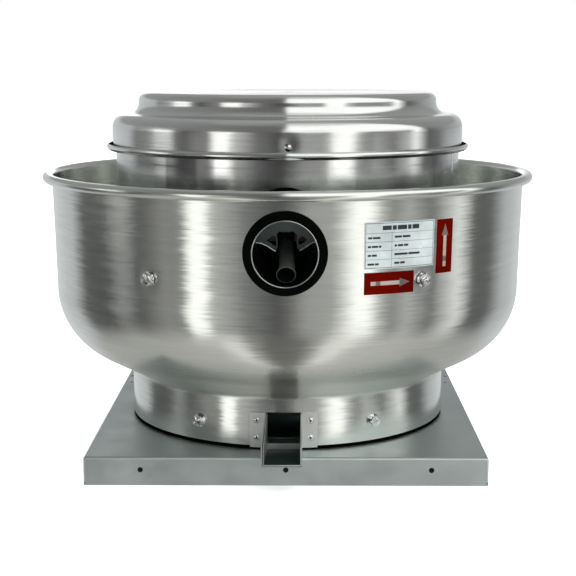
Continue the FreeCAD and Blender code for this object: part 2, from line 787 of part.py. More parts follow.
def hub_rivet_holes():
    return evenly(rod(RIVET_HOLE_R, WHEEL_TOP - 20, 40, 0, -HUB_RIVET_R), HUB_RIVETS)


def hub_rivets():
    one = rivet(RIVET_HEAD_R, RIVET_HOLE_R - 0.05, PLATE_SHEET + HUB_FLANGE)
    one.translate(V(0, -HUB_RIVET_R, WHEEL_TOP))
    return group(evenly(one, HUB_RIVETS))


def hub_set_screw():
    screw = rod(3.0, 0.05, 11).cut(hexagon(3, 7, 6))
    return at_azimuth(facing_out(screw, SHAFT_R, WHEEL_TOP - 24), 90)


def wheel_back_plate():
    disc = tube(WHEEL_R, SHAFT_R + 0.2, WHEEL_TOP - PLATE_SHEET, PLATE_SHEET)
    return cut_all(disc, hub_rivet_holes() + [block(-2.2, 2.2, -10.5, -6, 150, 200)])


def inlet_ring_outline():
    slope = math.radians(WHEEL_RING_SLOPE)
    path = Outline(WHEEL_RING_R, WHEEL_RING_BOTTOM, 90)
    path.line(8).arc(WHEEL_RING_BEND_R, WHEEL_RING_SLOPE - 90)
    return path.line((WHEEL_R - path.r) / math.cos(slope))


def wheel_inlet_ring():
    return inlet_ring_outline().spun(WHEEL_SHEET)


def wheel_blade(azimuth):
    """A flat blade that leans back from the way of turning, between the inlet ring and the back plate."""
    sweep = math.radians(BLADE_SWEEP)
    inner = V(0, -BLADE_INNER_R, 0)
    outer = V(-BLADE_OUTER_R * math.sin(sweep), -BLADE_OUTER_R * math.cos(sweep), 0)
    across = (outer - inner).cross(UP).normalize() * WHEEL_SHEET
    corners = [inner, outer, outer + across, inner + across]
    low = 95
    plate = prism([(p.x, p.y) for p in corners], low, WHEEL_TOP - PLATE_SHEET - 0.05 - low)
    slope = math.radians(WHEEL_RING_SLOPE)
    tip_z = inlet_ring_outline().z + WHEEL_SHEET / math.cos(slope) + 0.1
    near = BLADE_INNER_R - 24
    far = WHEEL_R + 15
    top = WHEEL_TOP + 12
    floor = [(r, tip_z + (r - WHEEL_R) * math.tan(slope)) for r in (near, far)]
    room = turned(floor + [(far, top), (near, top)])
    return at_azimuth(plate.common(room), azimuth)


# ---- plates and labels on the windband ----
def on_wall(azimuth_from, azimuth_to, z_from, z_to, gap, thickness):
    """A thin label that follows the windband's wall."""
    lean = math.cos(math.radians(WALL_LEAN))
    path = Outline(wall_radius(z_from), z_from, 90 - WALL_LEAN).line((z_to - z_from) / lean)
    sheet = path.face(-thickness, -gap)
    sheet.rotate(V(0, 0, 0), UP, azimuth_from - 90)
    return sheet.revolve(V(0, 0, 0), UP, azimuth_to - azimuth_from)


def build():
    nodes = {
        "curb_cap": curb_cap(),
        "inlet_venturi": inlet_venturi(),
        "venturi_rivets": venturi_rivets(),
        "windband": windband(),
        "collar_brackets": collar_brackets(),
        "bracket_rivets": bracket_rivets(),
        "collar_bolts": bolts_around(COLLAR_R + 0.1, COLLAR_BOLT_Z, 14),
        "collar_nuts": nuts_around(COLLAR_R - BOWL_SHEET - 3.75, COLLAR_BOLT_Z),
        "grease_spout": grease_spout(),
        "spout_rivets": spout_rivets(),
        "windband_bolts": bolts_around(wall_radius(WALL_BOLT_Z) + 0.25, WALL_BOLT_Z, 15),
        "windband_nuts": nuts_around(wall_radius(WALL_BOLT_Z) - BOWL_SHEET - 4.05, WALL_BOLT_Z),
        "strut_rivets": strut_rivets(),
        "motor_deck": motor_deck(),
        "motor_shroud": motor_shroud(),
        "shroud_rivets": shroud_rivets(),
        "motor_cover": motor_cover(),
        "cover_screws": cover_screws(),
        "breather_tube": breather_tube(),
        "bowl_grommet": bowl_grommet(),
        "shroud_grommet": shroud_grommet(),
        "tube_spider": tube_spider(),
        "wiring_conduit": wiring_conduit(),
        "wiring_box": wiring_box(),
        "wiring_box_lid": wiring_box_lid(),
        "motor_housing": motor_housing(),
        "stator_core": stator_core(),
        "stator_windings": stator_windings(),
        "lower_end_bell": lower_end_bell(),
        "upper_end_bell": upper_end_bell(),
        "motor_through_bolts": motor_through_bolts(),
        "motor_isolators": motor_isolators(),
        "motor_mount_bolts": motor_mount_bolts(),
        "bearing_outer_rings": bearing_rings(BEARING_R, 13.5),
        "bearing_inner_rings": bearing_rings(11.5, SHAFT_R),
        "bearing_balls": bearing_balls(),
        "capacitor": capacitor(),
        "motor_shaft": motor_shaft(),
        "rotor_core": rotor_core(),
        "shaft_key": shaft_key(),
        "wheel_hub": wheel_hub(),
        "hub_rivets": hub_rivets(),
        "hub_set_screw": hub_set_screw(),
        "wheel_back_plate": wheel_back_plate(),
        "wheel_inlet_ring": wheel_inlet_ring(),
        "rating_plate": on_wall(16.7, 33.4, 269.0, 322.0, 0.1, 0.4),
        "arrow_label_up": on_wall(34.3, 38.7, 258.6, 321.0, 0.1, 0.3),
        "arrow_label_right": on_wall(16.8, 28.4, 240.0, 265.0, 0.1, 0.3),
    }
    for index, azimuth in enumerate(BOLT_AZIMUTHS, 1):
        nodes["support_strut_%d" % index] = support_strut(azimuth)
    for index in range(BLADES):
        nodes["wheel_blade_%d" % (index + 1)] = wheel_blade(360.0 * index / BLADES)
    return nodes


os.makedirs("parts", exist_ok=True)
for name, shape in build().items():
    shape.exportStep("parts/%s.step" % name)
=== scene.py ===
import json
import math

import bmesh
import bpy
from mathutils import Matrix, Vector

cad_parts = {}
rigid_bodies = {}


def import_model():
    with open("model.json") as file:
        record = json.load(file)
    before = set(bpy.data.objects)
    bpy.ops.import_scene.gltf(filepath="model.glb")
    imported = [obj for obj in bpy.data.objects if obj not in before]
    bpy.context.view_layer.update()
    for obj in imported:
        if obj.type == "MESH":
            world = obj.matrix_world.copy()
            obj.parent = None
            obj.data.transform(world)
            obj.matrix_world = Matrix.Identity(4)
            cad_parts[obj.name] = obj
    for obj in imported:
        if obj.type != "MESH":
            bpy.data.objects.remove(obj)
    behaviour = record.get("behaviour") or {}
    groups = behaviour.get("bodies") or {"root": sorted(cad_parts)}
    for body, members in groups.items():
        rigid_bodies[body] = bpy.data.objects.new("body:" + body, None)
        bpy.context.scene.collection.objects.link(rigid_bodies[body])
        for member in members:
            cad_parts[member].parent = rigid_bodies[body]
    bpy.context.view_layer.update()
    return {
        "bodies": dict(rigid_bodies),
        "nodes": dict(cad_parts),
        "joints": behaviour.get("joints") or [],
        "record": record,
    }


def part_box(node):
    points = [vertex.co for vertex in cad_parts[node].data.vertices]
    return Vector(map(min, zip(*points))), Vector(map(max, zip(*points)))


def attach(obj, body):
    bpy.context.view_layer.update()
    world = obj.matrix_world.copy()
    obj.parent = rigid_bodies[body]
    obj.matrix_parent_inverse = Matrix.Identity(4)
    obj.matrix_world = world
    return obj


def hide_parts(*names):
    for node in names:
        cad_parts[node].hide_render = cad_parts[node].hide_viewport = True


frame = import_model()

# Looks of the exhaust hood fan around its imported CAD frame. Metres, +Z up, the fan's axis on Z.
# An azimuth is in degrees from -Y, where the grease spout is, and grows towards +X.

NODES = frame["nodes"]
SCENE = bpy.context.scene
MM = 0.001


def low(node):
    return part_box(node)[0]


def high(node):
    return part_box(node)[1]


def middle_z(node):
    return (low(node).z + high(node).z) / 2


# ---- shapes shared with the CAD model, placed by the boxes of its nodes ----
COLLAR_BOTTOM = low("windband").z
COLLAR_R = 208.5 * MM
RIM_TOP = high("windband").z
BOWL_SHEET = 1.6 * MM
RIM_BEAD_R = 5.95 * MM
WALL_LEAN = 1.355
BOLT_AZIMUTHS = (30.8, 149.2, -149.2, -30.8)
WALL_BOLT_Z = middle_z("windband_bolts")
BOWL_HOLE_Z = middle_z("bowl_grommet")
SHROUD_HOLE_Z = middle_z("shroud_grommet") + 3.6 * MM
GROMMET_R = high("bowl_grommet").x
HOLE_CUT_R = GROMMET_R - 2.6 * MM
SPOUT_X = (low("grease_spout").x + high("grease_spout").x) / 2
SPOUT_HALF = 21 * MM
SPOUT_FOOT = 42 * MM
SPOUT_TOP = 81 * MM
SHROUD_R = 225.5 * MM
SHROUD_SHEET = 1.5 * MM
SHROUD_BOTTOM = low("motor_shroud").z
SHROUD_TOP = high("motor_shroud").z
SHROUD_STEP_Z = 377 * MM
COVER_TOP = high("motor_cover").z
COVER_SHEET = 1.2 * MM
COVER_SCREW_Z = 401 * MM
CAP_TOP = high("curb_cap").z


# ---- outlines and shells ----
SHARP = math.radians(35)
SAME_PLACE = 1e-7


class Path:
    """A smooth outline in the (r, z) plane, as points with a heading in degrees."""

    def __init__(self, r, z, heading):
        self.points = [(r, z, heading)]

    def line(self, length, step, stops=()):
        """A straight run in steps, with extra points at the stops, which are distances along it."""
        r, z, heading = self.points[-1]
        count = max(1, round(length / step))
        marks = sorted({length * i / count for i in range(1, count + 1)} | set(stops))
        a = math.radians(heading)
        self.points += [(r + d * math.cos(a), z + d * math.sin(a), heading) for d in marks]
        return self

    def arc(self, radius, turn, step=5.0):
        """A bend by so many degrees: positive to the left, negative to the right."""
        r, z, heading = self.points[-1]
        sign = 1 if turn > 0 else -1
        a = math.radians(heading)
        cr = r - math.sin(a) * radius * sign
        cz = z + math.cos(a) * radius * sign
        count = max(2, math.ceil(abs(turn) / step))
        for i in range(1, count + 1):
            h = heading + turn * i / count
            b = math.radians(h)
            self.points.append((cr + math.sin(b) * radius * sign, cz - math.cos(b) * radius * sign, h))
        return self

    @property
    def r(self):
        return self.points[-1][0]

    @property
    def z(self):
        return self.points[-1][1]


def azimuths(fine, stops=()):
    """Column azimuths at each degree, with exact stops and with finer steps about some places.

    Each fine place is (azimuth, half width, step). Of two columns too close together one is left out.
    """
    least = 0.12
    exact = {round(s, 4) for s in stops}
    found = exact | {float(a) for a in range(-180, 180)}
    for middle, half, small in fine:
        count = round(half / small)
        found |= {round((middle + small * i + 180) % 360 - 180, 4) for i in range(-count, count + 1)}
    kept = []
    for a in sorted(found):
        crowded = kept and a - kept[-1] < least
        if crowded and kept[-1] in exact:
            continue
        if crowded:
            kept.pop()
        kept.append(a)
    return kept


def new_object(name, vertices, faces, smooth=True):
    mesh = bpy.data.meshes.new(name)
    mesh.from_pydata(vertices, [], faces)
    mesh.update()
    if smooth:
        mesh.shade_smooth()
        mesh.set_sharp_from_angle(angle=SHARP)
    piece = bpy.data.objects.new(name, mesh)
    SCENE.collection.objects.link(piece)
    return piece


def around(azimuth, r, z):
    a = math.radians(azimuth)
    return (r * math.sin(a), -r * math.cos(a), z)


def shell(name, path, sheet, columns, keep, sink):
    """A sheet spun from an outline, as a closed mesh: sheet is positive for material on the outline's left.

    keep(azimuth, r, z) says which cells stay, and sink(azimuth, r, z) how far in a point lies.
    """
    rows = path.points
    spans = len(rows) - 1
    count = len(columns)
    vertices = []
    for shift in (0.0, sheet):
        for r, z, heading in rows:
            h = math.radians(heading)
            for azimuth in columns:
                amount = shift + math.copysign(sink(azimuth, r, z), sheet)
                vertices.append(around(azimuth, max(r - math.sin(h) * amount, 0.0), z + math.cos(h) * amount))
    offset = len(rows) * count

    def index(i, j):
        return i * count + j % count

    def live(i, j):
        if not 0 <= i < spans:
            return False
        j %= count
        after = columns[j + 1] if j < count - 1 else columns[0] + 360
        middle = [(a + b) / 2 for a, b in zip(rows[i][:2], rows[i + 1][:2])]
        return keep is None or keep((columns[j] + after) / 2, *middle)

    faces = []
    for i in range(spans):
        for j in range(count):
            if not live(i, j):
                continue
            quad = [index(i, j), index(i, j + 1), index(i + 1, j + 1), index(i + 1, j)]
            faces += [quad, [v + offset for v in reversed(quad)]]
            beside = ((i - 1, j), (i, j + 1), (i + 1, j), (i, j - 1))
            for cell, a, b in zip(beside, quad, quad[1:] + quad[:1]):
                if not live(*cell):
                    faces.append([b, a, a + offset, b + offset])
    if sheet < 0:
        faces = [list(reversed(f)) for f in faces]
    return tidy_mesh(new_object(name, vertices, faces))


def tidy_mesh(piece, turn_out=False):
    """Join the points that coincide, drop the loose ones, and turn the faces outwards if asked to."""
    made = bmesh.new()
    made.from_mesh(piece.data)
    bmesh.ops.remove_doubles(made, verts=made.verts, dist=SAME_PLACE)
    loose = [v for v in made.verts if not v.link_faces]
    bmesh.ops.delete(made, geom=loose, context="VERTS")
    if turn_out:
        bmesh.ops.recalc_face_normals(made, faces=made.faces)
    made.to_mesh(piece.data)
    made.free()
    piece.data.set_sharp_from_angle(angle=SHARP)
    return piece


def place(piece, slot, *nodes, look=None):
    """Put a piece on the housing instead of these CAD nodes, with the slot's own material or another."""
    piece.data.materials.clear()
    piece.data.materials.append(MAT[look or slot])
    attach(piece, "housing")
    if nodes:
        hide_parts(*nodes)
    return piece


def repaint(piece, look, chosen):
    """Give another material to the faces for which chosen(face) is true."""
    piece.data.materials.append(MAT[look])
    for face in piece.data.polygons:
        if chosen(face):
            face.material_index = 1


def soften(piece, width):
    edge = piece.modifiers.new("soft_edges", "BEVEL")
    edge.width = width
    edge.segments = 2


def arc_between(azimuth, other):
    return (azimuth - other + 180) % 360 - 180


def dimple(azimuth, r, z, at_azimuth, at_z, radius, depth):
    """Depth of a shallow round dimple at this place on a wall."""
    across = math.radians(arc_between(azimuth, at_azimuth)) * r
    d = math.hypot(across, z - at_z) / radius
    return depth * math.exp(-d * d) if d < 3 else 0.0


# ---- materials ----
DUST_COLOUR = (0.35, 0.34, 0.32)


class Tree:
    """A small helper for building a node tree."""

    def add(self, kind, inputs=None, **settings):
        node = self.tree.nodes.new(kind)
        for key, value in settings.items():
            setattr(node, key, value)
        self.set(node, inputs or {})
        return node

    def set(self, node, inputs):
        for key, value in inputs.items():
            if isinstance(value, bpy.types.NodeSocket):
                self.tree.links.new(value, node.inputs[key])
            else:
                node.inputs[key].default_value = value

    def math(self, operation, a, b=0.0):
        return self.add("ShaderNodeMath", {0: a, 1: b}, operation=operation).outputs[0]

    def vector(self, operation, *inputs, **more):
        inputs = {**dict(enumerate(inputs)), **more}
        return self.add("ShaderNodeVectorMath", inputs, operation=operation).outputs[0]

    def mix(self, factor, a, b):
        """Mix two colours, each a socket or (red, green, blue)."""
        a, b = ((*colour, 1) if isinstance(colour, tuple) else colour for colour in (a, b))
        return self.add("ShaderNodeMix", {0: factor, 6: a, 7: b}, data_type="RGBA").outputs[2]


class Nodes(Tree):
    """A material's nodes. Its place is where a point is, in the object's metres."""

    def __init__(self, name, colour, metallic, roughness, **more):
        self.material = bpy.data.materials.new(name)
        self.material.use_nodes = True
        self.tree = self.material.node_tree
        self.shader = self.tree.nodes["Principled BSDF"]
        self.set(self.shader, {"Base Color": (*colour, 1), "Metallic": metallic, "Roughness": roughness})
        self.set(self.shader, {key.replace("_", " "): value for key, value in more.items()})
        self.place = self.add("ShaderNodeTexCoord").outputs["Object"]

    def noise(self, vector, scale, detail=3.0, rough=0.5, distortion=0.0):
        node = self.add("ShaderNodeTexNoise", {"Vector": vector, "Scale": scale, "Detail": detail,
                                               "Roughness": rough, "Distortion": distortion})
        return node.outputs["Fac"]

    def spread(self, value, low, high, start=0.3, end=0.7):
        """Map a value on start..end to low..high, and hold it at the ends."""
        node = self.add("ShaderNodeMapRange", {"Value": value, "From Min": start, "From Max": end,
                                               "To Min": low, "To Max": high})
        return node.outputs["Result"]

    def parts(self):
        """The x, y and z of this place, and its distance from the axis."""
        x, y, z = self.add("ShaderNodeSeparateXYZ", {0: self.place}).outputs
        squares = self.math("ADD", self.math("MULTIPLY", x, x), self.math("MULTIPLY", y, y))
        return x, y, z, self.math("SQRT", squares)

    def rings(self):
        """A coordinate that is the same all round the axis: (distance from the axis, height, 0)."""
        _, _, z, r = self.parts()
        return self.add("ShaderNodeCombineXYZ", {0: r, 1: z}).outputs[0]

    def streaks(self, along, across):
        """Noise in short dashes that run round the axis: how fast it changes along and across them."""
        x, y, z, r = self.parts()
        r = self.math("MAXIMUM", r, MM)
        cosine = self.math("MULTIPLY", self.math("DIVIDE", x, r), along)
        sine = self.math("MULTIPLY", self.math("DIVIDE", y, r), along)
        at = self.add("ShaderNodeCombineXYZ", {0: cosine, 1: sine, 2: self.math("MULTIPLY", r, across)})
        inputs = {"Vector": at.outputs[0], "W": self.math("MULTIPLY", z, across), "Scale": 1.0, "Detail": 3.0,
                  "Roughness": 0.6}
        return self.add("ShaderNodeTexNoise", inputs, noise_dimensions="4D").outputs["Fac"]

    def bump(self, height, strength, distance, normal=None):
        inputs = {"Height": height, "Strength": strength, "Distance": distance}
        if normal is not None:
            inputs["Normal"] = normal
        return self.add("ShaderNodeBump", inputs).outputs["Normal"]

    def lean(self, normal, tangent, amount):
        """Tilt a normal along the tangent by a small amount."""
        push = self.vector("SCALE", tangent, Scale=amount)
        return self.vector("NORMALIZE", self.vector("ADD", normal, push))

    def done(self, **inputs):
        self.set(self.shader, {key.replace("_", " "): value for key, value in inputs.items()})
        return self.material


def shade(colour, amount):
    return tuple(min(1.0, c * amount) for c in colour)


def knuckle_softness(m, height, amount):
    """Extra roughness on the windband's knuckle, that fades out below and above it."""
    below = m.spread(height, 0.0, amount, 94 * MM, 102 * MM)
    above = m.spread(height, amount, 0.0, 115 * MM, 165 * MM)
    return m.math("MINIMUM", below, above)


def paint_reflection_bands(m, base, x, y, tones):
    """Darken a colour in upright bands of painted reflection, on the front only: tones are (x in millimetres,
    brightness).
    """
    reach = 250
    ramp = m.add("ShaderNodeValToRGB", {0: m.spread(x, 0.0, 1.0, -reach * MM, reach * MM)})
    stops = ramp.color_ramp.elements
    while len(stops) < len(tones):
        stops.new(0.5)
    for stop, (at, tone) in zip(stops, tones):
        stop.position = (at + reach) / (2 * reach)
        stop.color = (tone, tone, tone, 1)
    front = m.spread(y, 1.0, 0.0, -120 * MM, -40 * MM)
    tone = m.mix(front, (1, 1, 1), ramp.outputs[0])
    return m.vector("MULTIPLY", base, tone)


def spun_metal(name, colour, roughness, anisotropic=0.9, tilt=0.012, spread=0.04, marks=1.0, soft=0.0,
               tones=()):
    """Aluminium turned on a lathe: fine rings, short polishing streaks and light handling marks.

    tilt and spread lean the normal round and along the axis, soft roughens the knuckle, tones go to the
    painted reflection bands in the base colour.
    """
    m = Nodes(name, colour, 1.0, roughness)
    rings = m.rings()
    fine = m.noise(rings, 2400.0, 2.0, 0.6)
    bands = m.noise(rings, 120.0, 4.0, 0.6)
    dashes = m.streaks(7.0, 520.0)
    long_dashes = m.streaks(3.0, 110.0)
    broad = m.noise(m.place, 9.0, 4.0, 0.55, 0.4)
    smudge = m.noise(m.place, 30.0, 5.0, 0.6, 0.8)
    base = m.mix(m.spread(bands, 0.0, 1.0, 0.25, 0.75), shade(colour, 0.94), shade(colour, 1.03))
    base = m.mix(m.spread(dashes, 0.0, 0.30 * marks, 0.5, 0.72), base, shade(colour, 0.70))
    base = m.mix(m.spread(smudge, 0.0, 0.12 * marks, 0.55, 0.8), base, shade(colour, 0.75))
    rough = m.math("ADD", m.spread(long_dashes, roughness - 0.02, roughness + 0.03),
                   m.math("ADD", m.spread(smudge, -0.01, 0.02 * marks), m.spread(broad, -0.02, 0.02)))
    x, y, z, _ = m.parts()
    if soft:
        rough = m.math("ADD", rough, knuckle_softness(m, z, soft))
    # painted reflection: upright light and dark bands in the base colour
    if tones:
        base = paint_reflection_bands(m, base, x, y, tones)
    tangent = m.add("ShaderNodeTangent", direction_type="RADIAL", axis="Z").outputs[0]
    normal = m.bump(bands, 0.06 * marks, 1 * MM)
    rise = m.vector("CROSS_PRODUCT", normal, tangent)
    normal = m.lean(normal, rise, m.spread(fine, -spread, spread))
    normal = m.lean(normal, tangent, m.spread(dashes, -tilt, tilt, 0.25, 0.75))
    normal = m.lean(normal, tangent, m.spread(long_dashes, -0.6 * tilt, 0.6 * tilt, 0.25, 0.75))
    return m.done(Base_Color=base, Roughness=rough, Normal=normal, Tangent=tangent,
                  Anisotropic=anisotropic, Anisotropic_Rotation=0.25)


def sheet_metal(name, colour, roughness, grain=60.0, bump=0.06, spots=0.12, top=None):
    """Flat rolled or plated sheet: faint mottling, fine grain and rubbed places. Above a top it gets painted
    shade: darker there.
    """
    m = Nodes(name, colour, 1.0, roughness)
    cloudy = m.noise(m.place, 14.0, 4.0, 0.6, 0.5)
    mottle = m.noise(m.place, grain, 5.0, 0.65)
    grainy = m.noise(m.place, 1400.0, 2.0, 0.6)
    base = m.mix(m.spread(cloudy, 0.0, 1.0), shade(colour, 0.93), shade(colour, 1.04))
    base = m.mix(m.spread(mottle, 0.0, spots, 0.45, 0.7), base, shade(colour, 0.75))
    # painted shade: darker above the top, for how the light falls on the top face
    if top:
        _, _, height, _ = m.parts()
        base = m.mix(m.spread(height, 0.0, 1.0, top - 2 * MM, top - 1 * MM), base, shade(colour, 0.62))
    rough = m.math("ADD", m.spread(cloudy, roughness - 0.04, roughness + 0.04), m.spread(mottle, -0.03, 0.05))
    normal = m.bump(grainy, bump, 0.3 * MM)
    normal = m.bump(cloudy, 0.12, 2 * MM, normal)
    return m.done(Base_Color=base, Roughness=rough, Normal=normal)


def plated(name, colour, roughness):
    """Bright plating that sparkles: small facets tilt it this way and that, with painted dark reflections
    between them.
    """
    m = Nodes(name, colour, 1.0, roughness)
    cells = m.noise(m.place, 130.0, 2.0, 0.5)
    grainy = m.noise(m.place, 1400.0, 2.0, 0.6)
    # painted dark reflections: the lines between the facets go nearly black
    base = m.mix(m.spread(cells, 0.0, 0.85, 0.52, 0.62), colour, shade(colour, 0.12))
    rough = m.spread(grainy, roughness - 0.03, roughness + 0.05)
    return m.done(Base_Color=base, Roughness=rough, Normal=m.bump(cells, 1.0, 3.5 * MM))


def moulded(name, colour, roughness, dust=0.10, **more):
    """Rubber, plastic or paint: a fine moulded grain with a little dust."""
    m = Nodes(name, colour, 0.0, roughness, **more)
    cloudy = m.noise(m.place, 25.0, 4.0, 0.6)
    grainy = m.noise(m.place, 1200.0, 3.0, 0.6)
    base = m.mix(m.spread(cloudy, 0.0, 1.0), shade(colour, 0.85), shade(colour, 1.3))
    base = m.mix(m.spread(grainy, 0.0, dust, 0.5, 0.75), base, DUST_COLOUR)
    rough = m.spread(cloudy, roughness - 0.06, roughness + 0.06)
    return m.done(Base_Color=base, Roughness=rough, Normal=m.bump(grainy, 0.15, 0.4 * MM))


# (x in mm, brightness): painted reflection bands on the shroud, where the room's light stops at the
# windband's rim
SHROUD_REFLECTION_TONES = [
    (-212, 0.62), (-198, 0.78), (-180, 0.92), (-160, 0.78), (-146, 0.78), (-143, 0.42), (-108, 0.38),
    (-103, 0.76), (-86, 0.80), (-82, 1.00), (-63, 1.00), (-58, 0.74), (-38, 0.66), (-20, 0.54), (-2, 0.58),
    (12, 0.68), (30, 0.76), (46, 0.80), (51, 1.00), (79, 1.00), (84, 0.78), (120, 0.78), (150, 0.82),
    (172, 0.88), (180, 0.60), (200, 0.60),
]


def plain_name(material):
    """A material's name without the number that Blender adds where the name is in use."""
    return material.name.split(".")[0]


MAT = {plain_name(material): material for material in (
    spun_metal("spun_aluminium", (0.86, 0.89, 0.84), 0.17, tilt=0.019, spread=0.03, marks=0.7, soft=0.25),
    spun_metal("cover_aluminium", (0.87, 0.89, 0.86), 0.15, tilt=0.005, spread=0.03, marks=0.6),
    # the shroud's colour carries painted reflection bands
    spun_metal("shroud_aluminium", (0.95, 0.97, 0.95), 0.14, anisotropic=0.8, tilt=0.004, spread=0.01,
               marks=0.6, tones=SHROUD_REFLECTION_TONES),
    moulded("curl_shadow", (0.003, 0.004, 0.004), 0.7, dust=0.0, Specular_IOR_Level=0.1),
    sheet_metal("plain_aluminium", (0.66, 0.67, 0.67), 0.34),
    # painted shade: aluminium darkened for the shade inside the collar
    sheet_metal("shaded_inner_aluminium", (0.10, 0.14, 0.14), 0.45),
    # the cap's top face gets painted shade
    sheet_metal("cap_sheet", (0.87, 0.96, 0.945), 0.42, grain=35.0, bump=0.05, spots=0.10, top=CAP_TOP),
    # painted shade: a near-black floor for the spout's trough, which lies in shade
    moulded("spout_floor_shade", (0.008, 0.018, 0.015), 0.5, dust=0.0, Specular_IOR_Level=0.2),
    sheet_metal("spout_sheet", (0.86, 0.89, 0.86), 0.40),
    plated("zinc_steel", (0.97, 0.98, 0.97), 0.12),
    sheet_metal("rivet_metal", (0.93, 0.93, 0.91), 0.20, grain=90.0),
    sheet_metal("wheel_aluminium", (0.68, 0.69, 0.69), 0.30),
    moulded("black_rubber", (0.0016, 0.0022, 0.0017), 0.75, dust=0.0, Specular_IOR_Level=0.0),
    sheet_metal("tube_aluminium", (0.80, 0.84, 0.80), 0.20),
    # painted shade: the breather tube's aluminium darkened for its inside
    sheet_metal("tube_inside_shade", (0.10, 0.15, 0.12), 0.30),
    moulded("conduit_grey", (0.036, 0.041, 0.034), 0.40, dust=0.03),
    moulded("grey_plastic", (0.045, 0.060, 0.057), 0.36, dust=0.05),
    # painted highlight: bright metal for the spider's left lip
    sheet_metal("lip_metal", (0.97, 0.97, 0.96), 0.25),
    # painted highlight: lighter plastic for the spider's right lip
    moulded("lip_highlight_plastic", (0.30, 0.33, 0.32), 0.22),
    moulded("motor_paint", (0.03, 0.03, 0.033), 0.45),
    sheet_metal("bell_metal", (0.45, 0.45, 0.45), 0.45),
    sheet_metal("core_steel", (0.35, 0.35, 0.36), 0.45),
    sheet_metal("winding_copper", (0.62, 0.30, 0.14), 0.35),
    sheet_metal("bearing_steel", (0.62, 0.62, 0.62), 0.20),
    sheet_metal("shaft_steel", (0.58, 0.58, 0.58), 0.25),
    sheet_metal("box_steel", (0.50, 0.51, 0.52), 0.38),
    sheet_metal("capacitor_case", (0.60, 0.60, 0.60), 0.32),
    moulded("plate_print", (0.44, 0.495, 0.49), 0.22, dust=0.04),
    moulded("label_red", (0.085, 0.0020, 0.0008), 0.40, dust=0.0, Specular_IOR_Level=0.0),
    moulded("label_ink", (0.016, 0.020, 0.026), 0.40, dust=0.02),
    moulded("label_line", (0.10, 0.13, 0.15), 0.40, dust=0.02),
    moulded("label_pale", (0.33, 0.26, 0.23), 0.38, dust=0.05),
    moulded("label_grey", (0.10, 0.085, 0.075), 0.40, dust=0.05),
)}

for node, obj in NODES.items():
    for slot in obj.material_slots:
        slot.material = MAT[plain_name(slot.material)]
# the parts inside the collar get the aluminium with painted shade
for node in ("inlet_venturi", "collar_brackets"):
    NODES[node].material_slots[0].material = MAT["shaded_inner_aluminium"]


# ---- camera ----
CAMERA_DISTANCE = 1.733
CAMERA_AZIMUTH = 0.5
CAMERA_Z = 0.4945
CAMERA_PITCH = 9.709
CAMERA_TURN = 0.478
LENS = 81.35

data = bpy.data.cameras.new("camera")
data.lens = LENS
data.sensor_width = 36.0
data.clip_start = 0.05
camera = bpy.data.objects.new("camera", data)
camera.location = around(CAMERA_AZIMUTH, CAMERA_DISTANCE, CAMERA_Z)
camera.rotation_euler = (math.radians(90 - CAMERA_PITCH), 0, math.radians(CAMERA_TURN))
SCENE.collection.objects.link(camera)
SCENE.camera = camera
SCENE.view_settings.view_transform = "Standard"


# ---- windband ----
CONE_LEAN = 62
KNUCKLE_R = 95.2 * MM
KNUCKLE_TURN = CONE_LEAN - WALL_LEAN


def wall_foot():
    """Where the wall starts in the CAD's outline, whose bend above the collar is wider than bowl_path's."""
    path = Path(COLLAR_R, COLLAR_BOTTOM, 90).line(48.7 * MM, MM).arc(22 * MM, -CONE_LEAN).line(39.1 * MM, MM)
    return path.arc(KNUCKLE_R, KNUCKLE_TURN).points[-1]


WALL_FOOT = wall_foot()


def wall_radius(z):
    foot_r, foot_z, _ = WALL_FOOT
    return foot_r + (z - foot_z) * math.tan(math.radians(WALL_LEAN))


def bowl_path():
    """Collar, cone, knuckle, wall and the rim's curl."""
    collar_top = 96.7 * MM
    stops = [SPOUT_FOOT - COLLAR_BOTTOM, SPOUT_TOP - COLLAR_BOTTOM]
    path = Path(COLLAR_R, COLLAR_BOTTOM, 90).line(collar_top - COLLAR_BOTTOM, 2 * MM, stops)
    path.arc(7 * MM, -CONE_LEAN, 6).line(48.1 * MM, 3 * MM).arc(KNUCKLE_R, KNUCKLE_TURN, 1.6)
    curl = RIM_BEAD_R - BOWL_SHEET
    rim_z = RIM_TOP - RIM_BEAD_R
    path.line((rim_z - path.z) / math.cos(math.radians(WALL_LEAN)), 2.2 * MM)
    path.arc(curl, WALL_LEAN - 90, 6).line(1.9 * MM, 0.6 * MM).arc(curl, -235, 6)
    return path


def in_spout_window(azimuth, r, z):
    x = COLLAR_R * math.sin(math.radians(azimuth))
    facing = abs(azimuth) < 90 and r < COLLAR_R + 3 * MM
    return facing and abs(x - SPOUT_X) < SPOUT_HALF and SPOUT_FOOT < z < SPOUT_TOP


def in_hole(azimuth, r, z, hole_z):
    """Whether a place on a wall is in the round hole for the breather tube."""
    x = r * math.sin(math.radians(azimuth))
    return abs(azimuth) < 90 and math.hypot(x, z - hole_z) < HOLE_CUT_R


# each wave of the ripple: (height, waves round the wall, turn per metre of height, start)
RIPPLES = ((1.0, 5, 31, 0.0), (0.7, 9, -47, 1.3), (0.5, 17, 83, 0.4))


def ripple(azimuth, z, size):
    """The slight unevenness that spinning leaves in a thin wall, as a depth."""
    a = math.radians(azimuth)
    wave = sum(height * math.sin(waves * a + turn * z + start) for height, waves, turn, start in RIPPLES)
    return size * (1 + wave / sum(height for height, *_ in RIPPLES)) / 2


